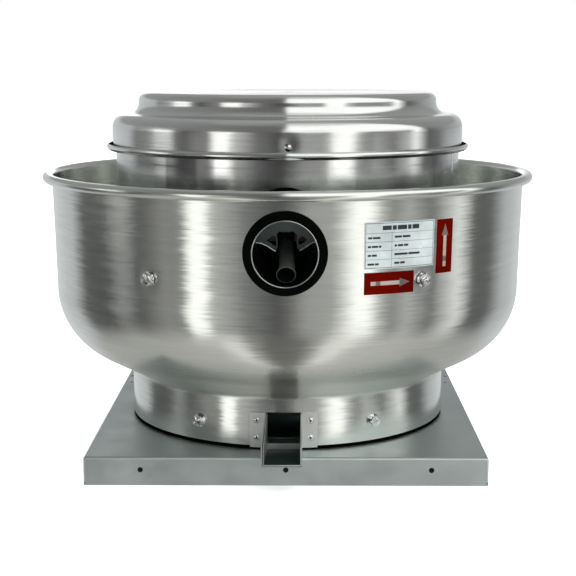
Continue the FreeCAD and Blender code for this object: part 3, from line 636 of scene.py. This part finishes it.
def bowl_sink(azimuth, r, z):
    """How far the wall lies in: ripples that fade out at its ends, and a dimple under each bolt."""
    start = 150 * MM
    end = RIM_TOP - 12 * MM
    if r <= COLLAR_R + MM or not start < z < end:
        return 0.0
    fade = min(1, (z - start) / (40 * MM), (end - z) / (30 * MM))
    depth = fade * ripple(azimuth, z, 0.30 * MM)
    for bolt in BOLT_AZIMUTHS:
        depth += dimple(azimuth, r, z, bolt, WALL_BOLT_Z, 11 * MM, 0.8 * MM)
    return depth


fine = [(bolt, 5, 0.4) for bolt in BOLT_AZIMUTHS] + [(0, 9.6, 0.4)]
window = [math.degrees(math.asin(x / COLLAR_R)) for x in (SPOUT_X - SPOUT_HALF, SPOUT_X + SPOUT_HALF)]
windband = shell("windband_spun", bowl_path(), BOWL_SHEET, azimuths(fine, window),
                 lambda *at: not (in_spout_window(*at) or in_hole(*at, BOWL_HOLE_Z)), bowl_sink)
place(windband, "spun_aluminium", "windband")


# ---- motor cover and shroud ----
CROWN_R = 194.8 * MM
CROWN_BEND = 10.9 * MM
STEP_Z = 432.9 * MM
STEP_BEND = 15.1 * MM
SHOULDER_R = 229.3 * MM
SHOULDER_BEND = 16.9 * MM
CURL_Z = 391.1 * MM
CURL_BEND = 3.4 * MM


def cover_path():
    """From the axis out: crown, its side, the step, the shoulder and the curl of the edge."""
    path = Path(0, COVER_TOP, 0).line(CROWN_R - CROWN_BEND, 8 * MM).arc(CROWN_BEND, -90, 5)
    path.line(path.z - STEP_Z - STEP_BEND, MM).arc(STEP_BEND, 90, 5)
    path.line(SHOULDER_R - SHOULDER_BEND - path.r, 0.9 * MM).arc(SHOULDER_BEND, -90, 4)
    return path.line(path.z - CURL_Z, 1.2 * MM).arc(CURL_BEND, 232, 7)


COVER_SCREWS = [0.7 + 120 * i for i in range(3)]


def cover_sink(azimuth, r, z):
    """How far the cover lies in: a dimple round each screw, and ripples in the skirt."""
    depth = 0.0
    for screw in COVER_SCREWS:
        depth += dimple(azimuth, r, z, screw, COVER_SCREW_Z + 3.5 * MM, 9 * MM, 0.9 * MM)
    if r > SHOULDER_R - 0.8 * MM and z > CURL_Z + 1.4 * MM:
        depth += ripple(azimuth, z, 0.2 * MM)
    return depth


def in_curl(face):
    """Whether a face lines the curl of the cover's edge."""
    x, y, z = face.center
    r = math.hypot(x, y)
    from_middle = math.hypot(r - SHOULDER_R - CURL_BEND, z - CURL_Z)
    return r > SHOULDER_R + 0.2 * MM and from_middle < CURL_BEND + 0.1 * MM


cover = shell("motor_cover_spun", cover_path(), -COVER_SHEET,
              azimuths([(screw, 6, 0.5) for screw in COVER_SCREWS]), None, cover_sink)
place(cover, "cover_aluminium", "motor_cover")
repaint(cover, "curl_shadow", in_curl)


def shroud_path():
    """A drum that steps out very slightly at its lip."""
    slope = 2.5
    bend = 2 * MM
    step = 0.1 * MM
    path = Path(SHROUD_R, SHROUD_BOTTOM, 90).line(SHROUD_STEP_Z - bend - SHROUD_BOTTOM, 2.5 * MM)
    path.arc(bend, -slope, 6)
    ramp = step - 2 * bend * (1 - math.cos(math.radians(slope)))
    path.line(ramp / math.sin(math.radians(slope)), MM).arc(bend, slope, 6)
    return path.line(SHROUD_TOP - path.z, 3 * MM)


SEAM = 68.0


def shroud_sink(azimuth, r, z):
    """How far the shroud lies in: ripples, and a lap that rises over 5 degrees to its seam."""
    width = 6
    off = arc_between(azimuth, SEAM)
    lap = 0.7 * MM if -width < off < 0.15 else 0.0
    return lap * min(1, (off + width) / 5) + ripple(azimuth, z, 0.25 * MM)


shroud = shell("motor_shroud_rolled", shroud_path(), SHROUD_SHEET,
               azimuths([(0, 12.4, 0.5), (SEAM, 1, 0.15)]),
               lambda *at: not in_hole(*at, SHROUD_HOLE_Z), shroud_sink)
place(shroud, "spun_aluminium", "motor_shroud", look="shroud_aluminium")


# ---- breather: grommets, tube and its parts ----
TUBE_R = 37.7 * MM
TUBE_SHEET = 1.3 * MM
TUBE_LENGTH = 98 * MM
TUBE_TILT = 9.7


def facing_out(azimuth, r, z, tilt=0):
    """The frame of a place round the axis: +Z outwards and down by the tilt, +Y up."""
    turn = Matrix.Rotation(math.radians(azimuth), 4, "Z") @ Matrix.Rotation(math.radians(90 + tilt), 4, "X")
    return Matrix.Translation(around(azimuth, r, z)) @ turn


AT_TUBE = facing_out(0, 311.5 * MM, 288.4 * MM, TUBE_TILT)
AT_INSERT = facing_out(0, 312 * MM, 287.1 * MM, 10.45)


def joined(count, size, base=0, closed=True):
    """Faces that join sections of so many points: the last back to the first, or with both ends capped."""
    faces = []
    for i in range(count if closed else count - 1):
        here = base + i * size
        after = base + (i + 1) % count * size
        for j in range(size):
            k = (j + 1) % size
            faces.append([here + j, after + j, after + k, here + k])
    if not closed:
        first = list(range(base, base + size))
        faces += [first, [(count - 1) * size + j for j in reversed(first)]]
    return faces


def lathe(section, count, matrices):
    """Vertices and faces of a closed (r, h) section spun about +Z, once for each matrix."""
    vertices = []
    faces = []
    size = len(section)
    for matrix in matrices:
        base = len(vertices)
        for i in range(count):
            a = 2 * math.pi * i / count
            vertices += [matrix @ Vector((r * math.cos(a), r * math.sin(a), h)) for r, h in section]
        faces += joined(count, size, base)
    return vertices, faces


def closed_piece(name, shape, slot, *nodes, look=None):
    """A piece from the vertices and faces of a closed shape: joined where they meet, normals outwards."""
    return place(tidy_mesh(new_object(name, *shape), turn_out=True), slot, *nodes, look=look)


def rounded(corners, radius, steps=5):
    """A closed (r, h) polygon with its corners rounded."""
    made = []
    corners = [Vector(corner) for corner in corners]
    for before, here, after in zip(corners[-1:] + corners[:-1], corners, corners[1:] + corners[:1]):
        a = before - here
        b = after - here
        reach = min(radius, a.length * 0.45, b.length * 0.45)
        p = here + a.normalized() * reach
        q = here + b.normalized() * reach
        for t in (i / steps for i in range(steps + 1)):
            made.append(tuple((1 - t) ** 2 * p + 2 * t * (1 - t) * here + t * t * q))
    return made


def grommet(name, hole_z, radius, sheet, node):
    """A grooved rubber ring that follows the curve of its wall: radius(z) is the wall's outside."""
    outer = GROMMET_R - 0.05 * MM
    groove = 43.3 * MM
    inner = TUBE_R + 0.15 * MM
    proud = 3.1 * MM
    corners = [(inner, -sheet - proud), (outer, -sheet - proud), (outer, -sheet), (groove, -sheet),
               (groove, 0), (outer, 0), (outer, proud), (inner, proud)]
    section = rounded(corners, 1.5 * MM)
    count = 120
    vertices = []
    for i in range(count):
        a = 2 * math.pi * i / count
        for rho, out in section:
            x = rho * math.sin(a)
            z = hole_z + rho * math.cos(a)
            vertices.append((x, -math.sqrt((radius(z) + out) ** 2 - x * x), z))
    closed_piece(name, (vertices, joined(count, len(section))), "black_rubber", node)


grommet("bowl_grommet_ring", BOWL_HOLE_Z, wall_radius, BOWL_SHEET, "bowl_grommet")
grommet("shroud_grommet_ring", SHROUD_HOLE_Z, lambda z: SHROUD_R, SHROUD_SHEET, "shroud_grommet")
TO_TUBE = AT_TUBE.inverted()


def breather_shell():
    """The tube's points, with its mouth cut 2 degrees from upright instead of square to its own axis."""
    inner = TUBE_R - TUBE_SHEET
    section = rounded([(inner, -TUBE_LENGTH), (TUBE_R, -TUBE_LENGTH), (TUBE_R, 0), (inner, 0)], 0.5 * MM, 3)
    vertices, faces = lathe(section, 144, [AT_TUBE])
    slope = math.tan(math.radians(TUBE_TILT - 2))
    for i, point in enumerate(vertices):
        local = TO_TUBE @ point
        if local.z > -20 * MM:
            local.z -= local.y * slope
            vertices[i] = AT_TUBE @ local
    return vertices, faces


def in_bore(face):
    """Whether a face is on the tube's inside, its front edge left out."""
    local = TO_TUBE @ face.center
    return math.hypot(local.x, local.y) < TUBE_R - 1.1 * MM and -face.normal.y < 0.6


tube = closed_piece("breather_tube_cut", breather_shell(), "tube_aluminium", "breather_tube")
# painted shade on the tube's bore
repaint(tube, "tube_inside_shade", in_bore)


def sweep(spine, count, radii):
    """A hollow hose about a spine in the plane x = constant: radii are (outer, inner) at each point."""
    side = Vector((1, 0, 0))
    last = len(spine) - 1
    ups = [side.cross(spine[min(last, k + 1)] - spine[max(0, k - 1)]).normalized() for k in range(last + 1)]
    vertices = []
    for i in range(count):
        a = 2 * math.pi * i / count
        for layer, order in ((0, 1), (1, -1)):
            for middle, up, pair in list(zip(spine, ups, radii))[::order]:
                vertices.append(middle + (side * math.cos(a) + up * math.sin(a)) * pair[layer])
    return vertices, joined(count, 2 * len(spine))


HOSE_END = (-306 * MM, 264.8 * MM)
HOSE_BEND = (-244 * MM, 305.8 * MM)
HOSE_BACK = -128 * MM
HOSE_COUNT = 41


def hose_height(y):
    """The hose rises from its open end, goes through the spider and bends softly to level in the shroud."""
    soft = 26 * MM
    top = HOSE_BEND[1] - HOSE_END[1]
    rise = top / (HOSE_BEND[0] - HOSE_END[0]) * (y - HOSE_END[0])
    level = -soft * math.log(math.exp(-rise / soft) + math.exp(-top / soft))
    return HOSE_END[1] + level + soft * math.log(1 + math.exp(-top / soft))


def hose_sizes(along):
    """How far to the side the hose lies, and its outer and inner radius, so many millimetres from its end."""
    side = 1.0 + 0.9 * math.sin(along / 40 * math.pi) if along < 40 else 1.0 - min(1, (along - 40) / 40)
    outer = 11.0 - 1.8 * min(1, along / 9) ** 2 - 0.7 * min(1, max(0, along - 15) / 20)
    outer += 2.5 * min(1, max(0, along - 60) / 30)
    return side * MM, outer * MM, (outer - 0.7) * MM


def hose_points():
    points = []
    radii = []
    for i in range(HOSE_COUNT):
        y = HOSE_END[0] + (HOSE_BACK - HOSE_END[0]) * i / (HOSE_COUNT - 1)
        side, outer, inner = hose_sizes((y - HOSE_END[0]) / MM)
        points.append(Vector((side, y, hose_height(y))))
        radii.append((outer, inner))
    return points, radii


def in_hose(face):
    """Whether a face is on the hose's inside."""
    middle = min(spine, key=lambda point: (point - face.center).length)
    return face.normal.dot(face.center - middle) < -MM


spine, radii = hose_points()
hose = closed_piece("wiring_conduit_hose", sweep(spine, 48, radii), "grey_plastic", "wiring_conduit",
                    look="conduit_grey")
repaint(hose, "curl_shadow", in_hose)


def curve_piece(name, dimensions, lines, closed, shape, matrix, *nodes, look=None):
    """A grey plastic piece from lines through (x, y) points in millimetres, thickened as shape says."""
    curve = bpy.data.curves.new(name, "CURVE")
    curve.dimensions = dimensions
    for key, value in shape.items():
        setattr(curve, key, value)
    for points in lines:
        spline = curve.splines.new("POLY")
        spline.points.add(len(points) - 1)
        for point, (x, y) in zip(spline.points, points):
            point.co = (x * MM, y * MM, 0, 1)
        spline.use_cyclic_u = closed
    drawn = bpy.data.objects.new(name, curve)
    mesh = bpy.data.meshes.new_from_object(drawn)
    bpy.data.objects.remove(drawn)
    vertices = [matrix @ v.co for v in mesh.vertices]
    faces = [list(face.vertices) for face in mesh.polygons]
    return closed_piece(name, (vertices, faces), "grey_plastic", *nodes, look=look)


SPIDER_R = 35.9
NICK_R = (34.9, 33.4)
NICKS = ((-63, 3.5), (-47, 2.5), (-30, 4), (-12, 1.5), (0, 4.5), (13, 1.5), (31, 4), (48, 3), (62, 3))
SPIDER_DEPTH = 46 * MM
V_LEFT = [(-11.5, -9.8), (-16.5, -6.4), (-22.1, -2.6), (-28.0, -0.2), (-33.6, 0.7)]
V_RIGHT = [(34.2, 1.6), (31.1, 1.0), (27.0, -1.6), (22.6, -4.6), (16.0, -9.2)]


def circle_part(radius, start, end):
    """Points on a circle about 4 degrees apart, by angle from +Y towards +X."""
    count = max(2, round(abs(end - start) / 4))
    found = []
    for i in range(count + 1):
        a = math.radians(start + (end - start) * i / count)
        found.append((radius * math.sin(a), radius * math.cos(a)))
    return found


def spider_loops():
    """The plate's outline with its clasp in the middle, a window on each side, and nicks under the rim."""
    left = math.degrees(math.atan2(V_LEFT[-1][0], V_LEFT[-1][1]))
    right = math.degrees(math.atan2(V_RIGHT[0][0], V_RIGHT[0][1]))
    crown = [(13.2, -6.0), (12.6, 3.0), (13.6, 9.4), (10.4, 12.4), (7.7, 13.9), (4.6, 12.6), (0.6, 13.4),
             (-3.4, 12.6), (-6.4, 13.9), (-8.8, 11.6), (-9.6, 9.6), (-9.3, 4.0), (-8.8, -6.0)]
    outline = circle_part(SPIDER_R, left, right) + V_RIGHT[1:] + crown + V_LEFT[:-1]
    side_left = [(-21.4, 3.2), (-14.2, 8.6), (-10.9, 6.6), (-10.6, -2.6), (-12.4, -3.4)]
    side_right = [(14.4, 4.6), (14.8, -1.2), (17.0, -1.8), (24.7, 3.2), (19.1, 8.6)]
    loops = [outline, side_left, side_right]
    outer, inner = NICK_R
    for middle, half in NICKS:
        start = middle - half
        end = middle + half
        loops.append(circle_part(outer, start, end) + circle_part(inner, end, start))
    return loops


SPIDER_PLATE = 1.2 * MM
SPIDER_EDGE = 0.3 * MM
plate = {"fill_mode": "BOTH", "extrude": SPIDER_PLATE / 2 - SPIDER_EDGE, "offset": -SPIDER_EDGE,
         "bevel_depth": SPIDER_EDGE, "bevel_resolution": 2}
curve_piece("tube_spider_plate", "2D", spider_loops(), True, plate,
            AT_INSERT @ Matrix.Translation((0, 0, -SPIDER_DEPTH - SPIDER_PLATE / 2)), "tube_spider")
# painted highlights on the plate's edges: the left lip brighter than the right
LIPS = (("left", V_LEFT, 1.1 * MM, "lip_metal"), ("right", V_RIGHT, 0.9 * MM, "lip_highlight_plastic"))
for side, line, radius, look in LIPS:
    lip = {"bevel_depth": radius, "bevel_resolution": 4, "use_fill_caps": True}
    curve_piece("spider_lip_" + side, "3D", [line], False, lip,
                AT_INSERT @ Matrix.Translation((0, 0, -SPIDER_DEPTH + 0.5 * MM)), look=look)


# ---- grease spout, in millimetres ----
SPOUT_FLOOR_Z = 34.9


def folded(boards):
    """Vertices and faces of folded sheet: each board is four corners in millimetres and a step through it."""
    vertices = []
    faces = []
    for corners, through in boards:
        base = len(vertices)
        vertices += [Vector(c) * MM for c in corners]
        vertices += [(Vector(c) + Vector(through)) * MM for c in corners]
        faces += joined(2, 4, base, closed=False)
    return vertices, faces


def standing(start, end, through):
    """A board that stands at the floor's level, from start to end: each is (x, y, top)."""
    feet = [(x, y, SPOUT_FLOOR_Z) for x, y, _ in (start, end)]
    return feet + [end, start], through


def spout_boards():
    """Two walls of two layers each, the floor, its front lip, and a small flap at the back."""
    back, back_top = -206.5, 80.4
    front, front_top = -279.0, 58.0
    lip_top = SPOUT_FLOOR_Z + 2.2
    flap, flap_top = -209.6, 42.2
    sheet = 0.9
    walls = ((-25.2, -28.5, 1.2), (-23.2, -26.2, 0.8), (19.2, 19.2, -1.2), (18.2, 17.8, -0.7))
    floor = [(-28.3, front), (19.1, front), (18.9, back), (-25.0, back)]
    sides = [standing((x0, back, back_top), (x1, front, front_top), (thick, 0, 0)) for x0, x1, thick in walls]
    return sides + [([(x, y, SPOUT_FLOOR_Z) for x, y in floor], (0, 0, sheet)),
                    standing((-28.2, front, lip_top), (19.0, front, lip_top), (0, sheet, 0)),
                    standing((-24.2, flap, flap_top), (18.4, flap, flap_top), (0, sheet, 0))]


spout = closed_piece("grease_spout_folded", folded(spout_boards()), "spout_sheet", "grease_spout")
soften(spout, 0.25 * MM)
# painted shade on the spout's floor
repaint(spout, "spout_floor_shade", lambda face: face.normal.z > 0.9 and face.center.z < (SPOUT_FLOOR_Z + 1.1) * MM)


def curved_board(x0, x1, z0, z1, r, thickness):
    """A plate wrapped round a cylinder about Z, given by where its edges are in x and z, in millimetres."""
    columns = 25
    outside = r + thickness
    vertices = []
    for i in range(columns):
        x = x0 + (x1 - x0) * i / (columns - 1)
        for radius, z in ((r, z0), (r, z1), (outside, z1), (outside, z0)):
            vertices.append(Vector((x, -math.sqrt(radius * radius - x * x), z)) * MM)
    return vertices, joined(columns, 4, closed=False)


for side, x0, x1 in (("left", -44.2, -25.0), ("right", 19.0, 38.2)):
    flange = curved_board(x0, x1, z0=36.8, z1=80.4, r=208.6, thickness=1.2)
    soften(closed_piece("spout_flange_" + side, flange, "spout_sheet"), 0.3 * MM)


# ---- painted shade in the gap between the windband's foot and the cap: a black ring shaped as a soft seal ----
SHADE_RING_GAP = 0.1 * MM
SHADE_RING_INNER = 207.1 * MM
SHADE_RING_OUTER = 208.3 * MM
gap_shade_ring = rounded([(SHADE_RING_INNER, CAP_TOP + SHADE_RING_GAP), (SHADE_RING_OUTER, CAP_TOP + SHADE_RING_GAP),
                (SHADE_RING_OUTER, COLLAR_BOTTOM - SHADE_RING_GAP), (SHADE_RING_INNER, COLLAR_BOTTOM - SHADE_RING_GAP)], 0.3 * MM, 2)
closed_piece("foot_gap_shade", lathe(gap_shade_ring, 240, [Matrix.Identity(4)]), "black_rubber")


# ---- pop rivets on the spout's flanges ----
def pop_rivet(head, height):
    """Half section of a pop rivet: a low dome with the stub of its pin sunk in the middle."""
    dome = [(head * math.cos(math.radians(a)), height * math.sin(math.radians(a))) for a in range(0, 75, 12)]
    return [(0.0, -2 * MM), (head * 0.55, -2 * MM), (head * 0.55, 0.0)] + dome + [
        (head * 0.30, height * 0.80), (head * 0.28, height * 0.05), (0.0, height * 0.05)]


FLANGE_FACE = COLLAR_R + 1.35 * MM
RIVET_FRAMES = [facing_out(math.degrees(math.asin((SPOUT_X + x * MM) / COLLAR_R)), FLANGE_FACE, z * MM)
                for x in (-32.6, 32.6) for z in (49.5, 71.0)]


def in_pin(face):
    """Whether a face is in the sunk middle of a rivet's head."""
    places = [frame.inverted() @ face.center for frame in RIVET_FRAMES]
    return any(at.length < 5 * MM and math.hypot(at.x, at.y) < 1.15 * MM and at.z > -MM for at in places)


rivets = closed_piece("spout_pop_rivets", lathe(pop_rivet(4 * MM, 1.8 * MM), 32, RIVET_FRAMES), "rivet_metal",
                      "spout_rivets")
repaint(rivets, "curl_shadow", in_pin)


# ---- rating plate and arrow labels ----
class Print:
    """Thin raised print that follows the windband's wall, laid out on a label in millimetres."""

    def __init__(self, azimuth, z, out):
        self.azimuth = azimuth
        self.z = z
        self.out = out
        self.vertices = []
        self.faces = []

    def at(self, x, y, out):
        z = self.z + y * MM
        r = wall_radius(z)
        return around(self.azimuth + math.degrees(x * MM / r), r + out, z)

    def shape(self, outline):
        """A convex outline of (x, y) corners, as a thin slab."""
        self.faces += joined(2, len(outline), len(self.vertices), closed=False)
        for out in (self.out + 0.06 * MM, self.out):
            self.vertices += [self.at(x, y, out) for x, y in outline]

    def bar(self, x0, x1, y0, y1):
        """A rectangle, cut into lengths of up to 6 mm so that it bends with the wall."""
        count = max(1, math.ceil((x1 - x0) / 6))
        for i in range(count):
            a = x0 + (x1 - x0) * i / count
            b = x0 + (x1 - x0) * (i + 1) / count
            self.shape([(a, y0), (b, y0), (b, y1), (a, y1)])

    def words(self, x, y, lengths, height, gap):
        """A row of bars in place of words."""
        for length in lengths:
            self.bar(x, x + length, y, y + height)
            x += length + gap

    def piece(self, name, slot, look):
        place(new_object(name, self.vertices, self.faces, smooth=False), slot, look=look)


def label_span(node):
    """Left edge azimuth, lower edge, width and height in millimetres of a label on the wall."""
    bottom = low(node).z
    turns = [math.degrees(math.atan2(v.co.x, -v.co.y)) for v in NODES[node].data.vertices]
    width = math.radians(max(turns) - min(turns)) * wall_radius(middle_z(node))
    return min(turns), bottom, width / MM, (high(node).z - bottom) / MM


TITLE = (11.0, 5.0, 12.0, 4.5, 9.0)
WORDS = ((5.0, 9.0), (4.0, 7.5, 3.0), (4.0, 6.0), (8.0, 4.5))
VALUES = ((9.0, 10.0), (3.0, 7.0, 5.5), (17.0, 15.0), (6.5, 6.0))


def rating_plate():
    """A framed table of four rows under a title, with plain bars in place of words. All in millimetres."""
    left, base, width, height = label_span("rating_plate")
    lines = Print(left, base, 0.52 * MM)
    ink = Print(left, base, 0.52 * MM)
    edge, frame_line, half_line = 0.9, 0.7, 0.2
    inside = edge + frame_line
    right = width - edge
    top = height - edge
    lines.bar(edge, right, edge, inside)
    lines.bar(edge, right, top - frame_line, top)
    lines.bar(edge, inside, inside, top - frame_line)
    lines.bar(right - frame_line, right, inside, top - frame_line)
    title_height = 11.5
    row = (top - edge - title_height) / 4
    for number in range(4):
        y = edge + row * (number + 1)
        lines.bar(inside, right - frame_line, y - half_line, y + half_line)
    column = width * 0.37
    lines.bar(column - half_line, column + half_line, inside, edge + row * 4)
    ink.words(width * 0.24, top - 8.2, TITLE, 5.0, 1.3)
    for number in range(4):
        y = edge + row * (3 - number) + row * 0.36
        ink.words(edge + 3.0, y, WORDS[number], 2.3, 0.9)
        ink.words(column + 3.5, y + 0.4, VALUES[number], 2.4, 1.0)
    lines.piece("rating_plate_lines", "plate_print", "label_line")
    ink.piece("rating_plate_bars", "plate_print", "label_ink")


rating_plate()


def arrow(name, node, upright):
    """A pale arrow with a grey head and tail marks, along the length of its label."""
    left, base, width, height = label_span(node)
    pale = Print(left, base, 0.42 * MM)
    grey = Print(left, base, 0.42 * MM)
    length = height if upright else width
    middle = (width if upright else height) / 2

    def put(layer, outline):
        layer.shape([(middle - t, s) if upright else (s, middle + t) for s, t in outline])

    tail, neck, tip = length * 0.12, length * 0.70, length * 0.92
    half, barb = 2.3, 5.0
    steps = 6
    for i in range(steps):
        a = tail + (neck - tail) * i / steps
        b = tail + (neck - tail) * (i + 1) / steps
        layer = grey if i == 1 else pale
        put(layer, [(a, -half), (b, -half), (b, half), (a, half)])
    put(grey, [(neck, -barb), (tip, 0), (neck, barb)])
    pale.piece(name + "_shaft", "label_red", "label_pale")
    grey.piece(name + "_head", "label_red", "label_grey")


arrow("up_arrow", "arrow_label_up", True)
arrow("right_arrow", "arrow_label_right", False)


# ---- studio ----
class Sky(Tree):
    """Nodes for the room's light, worked out from the direction that a reflection looks in."""

    def __init__(self):
        world = bpy.data.worlds.new("studio")
        SCENE.world = world
        world.use_nodes = True
        self.tree = world.node_tree
        self.tree.nodes.clear()

    def ring(self, share, stops):
        """Light by azimuth: each stop is (azimuth, brightness, warmth)."""
        ramp = self.add("ShaderNodeValToRGB", {0: share})
        elements = ramp.color_ramp.elements
        elements.remove(elements[0])
        for number, (azimuth, light, warmth) in enumerate(stops):
            at = (azimuth + 180) / 360
            element = elements.new(at) if number else elements[0]
            element.position = at
            element.color = (light * (1 + warmth), light, light * (1 - 1.6 * warmth), 1)
        return ramp.outputs[0]

    def between(self, value, start, end):
        node = self.add("ShaderNodeMapRange", {"Value": value, "From Min": start, "From Max": end},
                        interpolation_type="SMOOTHSTEP")
        return node.outputs["Result"]

    def build(self, lowest, levels):
        """Mix the rings by height: the ring of each (start, end, ring) takes over between start and end."""
        direction = self.add("ShaderNodeTexCoord").outputs["Generated"]
        x, y, z = self.add("ShaderNodeSeparateXYZ", {0: direction}).outputs
        turn = self.math("ARCTAN2", x, self.math("MULTIPLY", y, -1.0))
        share = self.add("ShaderNodeMapRange", {"Value": turn, "From Min": -math.pi, "From Max": math.pi})
        share = share.outputs["Result"]
        room = self.ring(share, lowest)
        for start, end, stops in levels:
            room = self.mix(self.between(z, start, end), room, self.ring(share, stops))
        lit = self.add("ShaderNodeBackground", {0: room}).outputs[0]
        seen = self.add("ShaderNodeBackground", {0: (1, 1, 1, 1)}).outputs[0]
        path = self.add("ShaderNodeLightPath")
        choose = self.add("ShaderNodeMixShader", {0: path.outputs["Is Camera Ray"], 1: lit, 2: seen})
        self.add("ShaderNodeOutputWorld", {0: choose.outputs[0]})


# (azimuth, brightness, warmth) of the room round the object, from the ground up
GROUND_LIGHT = [
    (-180, 0.50, 0.01), (-110, 0.38, 0.01), (-75, 0.42, 0.02), (-50, 0.44, 0.02), (-40, 0.50, 0.02),
    (-34, 0.75, 0.02), (-27, 0.75, 0.02), (-20, 0.32, 0.03), (-10, 0.14, 0.02), (9, 0.15, 0.02),
    (18, 0.34, 0.03), (25, 0.78, 0.02), (34, 0.78, 0.03), (41, 0.50, 0.02), (60, 0.48, 0.02),
    (90, 0.42, 0.02), (110, 0.36, 0.01), (180, 0.50, 0.01),
]
WALL_LIGHT = [
    (-180, 0.64, -0.02), (-150, 0.64, -0.02), (-126, 0.50, -0.02), (-114, 0.10, 0),
    (-95, 0.06, 0), (-86, 0.20, 0), (-74, 0.09, 0), (-60, 0.26, 0.01), (-50, 0.22, 0.01),
    (-46, 1.20, 0.01), (-43, 1.25, 0.01), (-39, 1.15, 0.01), (-35.5, 0.44, 0.01), (-27, 0.33, 0),
    (-19, 0.20, 0), (-4, 0.09, 0), (2, 0.15, 0.01), (9, 0.33, 0.01), (22, 0.36, 0.01),
    (28, 0.80, 0.01), (33, 1.20, 0.01), (39, 1.20, 0.01), (45, 0.46, 0.01), (51, 0.22, 0),
    (59, 0.45, 0), (72, 0.13, 0), (89, 0.80, 0), (100, 0.11, 0), (114, 0.12, -0.01),
    (128, 0.45, -0.02), (150, 0.60, -0.02), (180, 0.64, -0.02),
]
UPPER_LIGHT = [
    (-180, 1.30, 0), (-169, 1.30, 0), (-166, 0.60, -0.02), (-122, 0.48, -0.02), (-113, 0.30, 0),
    (-102, 0.42, 0), (-97, 0.65, 0), (-92, 1.20, 0), (-81, 1.25, 0), (-75, 0.26, 0), (-68, 0.08, 0),
    (-52, 0.22, 0), (-48, 1.15, 0.01), (-37, 1.35, 0.01), (-32, 0.65, 0.01), (-24, 0.36, 0),
    (-18, 0.15, 0), (-3, 0.06, 0), (4, 0.12, 0), (11, 0.32, 0), (26, 0.25, 0), (30, 1.10, 0.01),
    (42, 1.25, 0.01), (47, 0.52, 0), (55, 0.20, 0), (84, 0.28, 0), (91, 1.25, 0),
    (97, 0.60, 0), (103, 0.12, 0), (122, 0.28, -0.02), (168, 0.55, -0.02), (180, 1.30, 0),
]
CEILING_LIGHT = [
    (-180, 0.36, -0.01), (-120, 0.26, -0.01), (-60, 0.20, 0), (-12, 0.14, 0), (-2, 0.14, 0), (1, 1.15, 0),
    (96, 1.15, 0), (101, 0.24, 0), (180, 0.36, -0.01),
]
ZENITH_LIGHT = [
    (-180, 0.34, 0), (-90, 0.30, 0), (-2, 0.20, 0), (1, 0.75, 0), (96, 0.75, 0), (110, 0.34, 0),
    (180, 0.34, 0),
]
Sky().build(WALL_LIGHT, ((-0.08, -0.02, UPPER_LIGHT), (0.15, 0.27, CEILING_LIGHT), (0.84, 0.94, ZENITH_LIGHT),
                         (-0.38, -0.62, GROUND_LIGHT)))

sun = bpy.data.lights.new("overhead", "SUN")
sun.energy = 3.0
sun.angle = math.radians(80)
lamp = bpy.data.objects.new("overhead", sun)
lamp.location = (0, 0, 2)
lamp.visible_glossy = False
SCENE.collection.objects.link(lamp)

FLOOR = 14.0
FLOOR_ROWS = 8
FLOOR_GLOW = 0.45
GLOW_START = 236 * MM
GLOW_END = 240 * MM


def floor_grid():
    marks = [FLOOR * (i / FLOOR_ROWS - 0.5) for i in range(FLOOR_ROWS + 1)]
    n = len(marks)
    corners = [j * n + i for j in range(FLOOR_ROWS) for i in range(FLOOR_ROWS)]
    return [(x, y, 0.0) for y in marks for x in marks], [(c, c + 1, c + n + 1, c + n) for c in corners]


def floor_material():
    """White paper that glows a little outside the curb cap, and that can be seen through from below."""
    paper = Nodes("floor_paper", (0.93, 0.93, 0.93), 0.0, 0.9)
    x, y, _, _ = paper.parts()
    reach = paper.math("MAXIMUM", paper.math("ABSOLUTE", x), paper.math("ABSOLUTE", y))
    behind = paper.add("ShaderNodeNewGeometry").outputs["Backfacing"]
    tone = paper.mix(paper.noise(paper.place, 2.0), (0.93,) * 3, (0.95,) * 3)
    return paper.done(Base_Color=tone, Alpha=paper.math("SUBTRACT", 1.0, behind), Emission_Color=(1, 1, 1, 1),
                      Emission_Strength=paper.spread(reach, 0.0, FLOOR_GLOW, GLOW_START, GLOW_END))


floor = new_object("floor", *floor_grid())
floor.data.materials.append(floor_material())
floor.visible_glossy = False

# painted shade: a dark sheet inside the curb cap, unseen by the camera, for the dark roof opening under it;
# it also stops light coming from below the floor
CURB = high("curb_cap").x - 4 * MM
corners = [(CURB * x, CURB * y, 1 * MM) for x, y in ((-1, -1), (1, -1), (1, 1), (-1, 1))]
under = new_object("roof_opening_shade", corners, [(0, 1, 2, 3)])
dark = Nodes("roof_opening_shade", (0.02, 0.02, 0.02), 0.0, 0.9)
dark.done(Base_Color=dark.mix(dark.noise(dark.place, 20.0), (0.015,) * 3, (0.03,) * 3))
under.data.materials.append(dark.material)
under.visible_camera = False

bpy.context.view_layer.update()
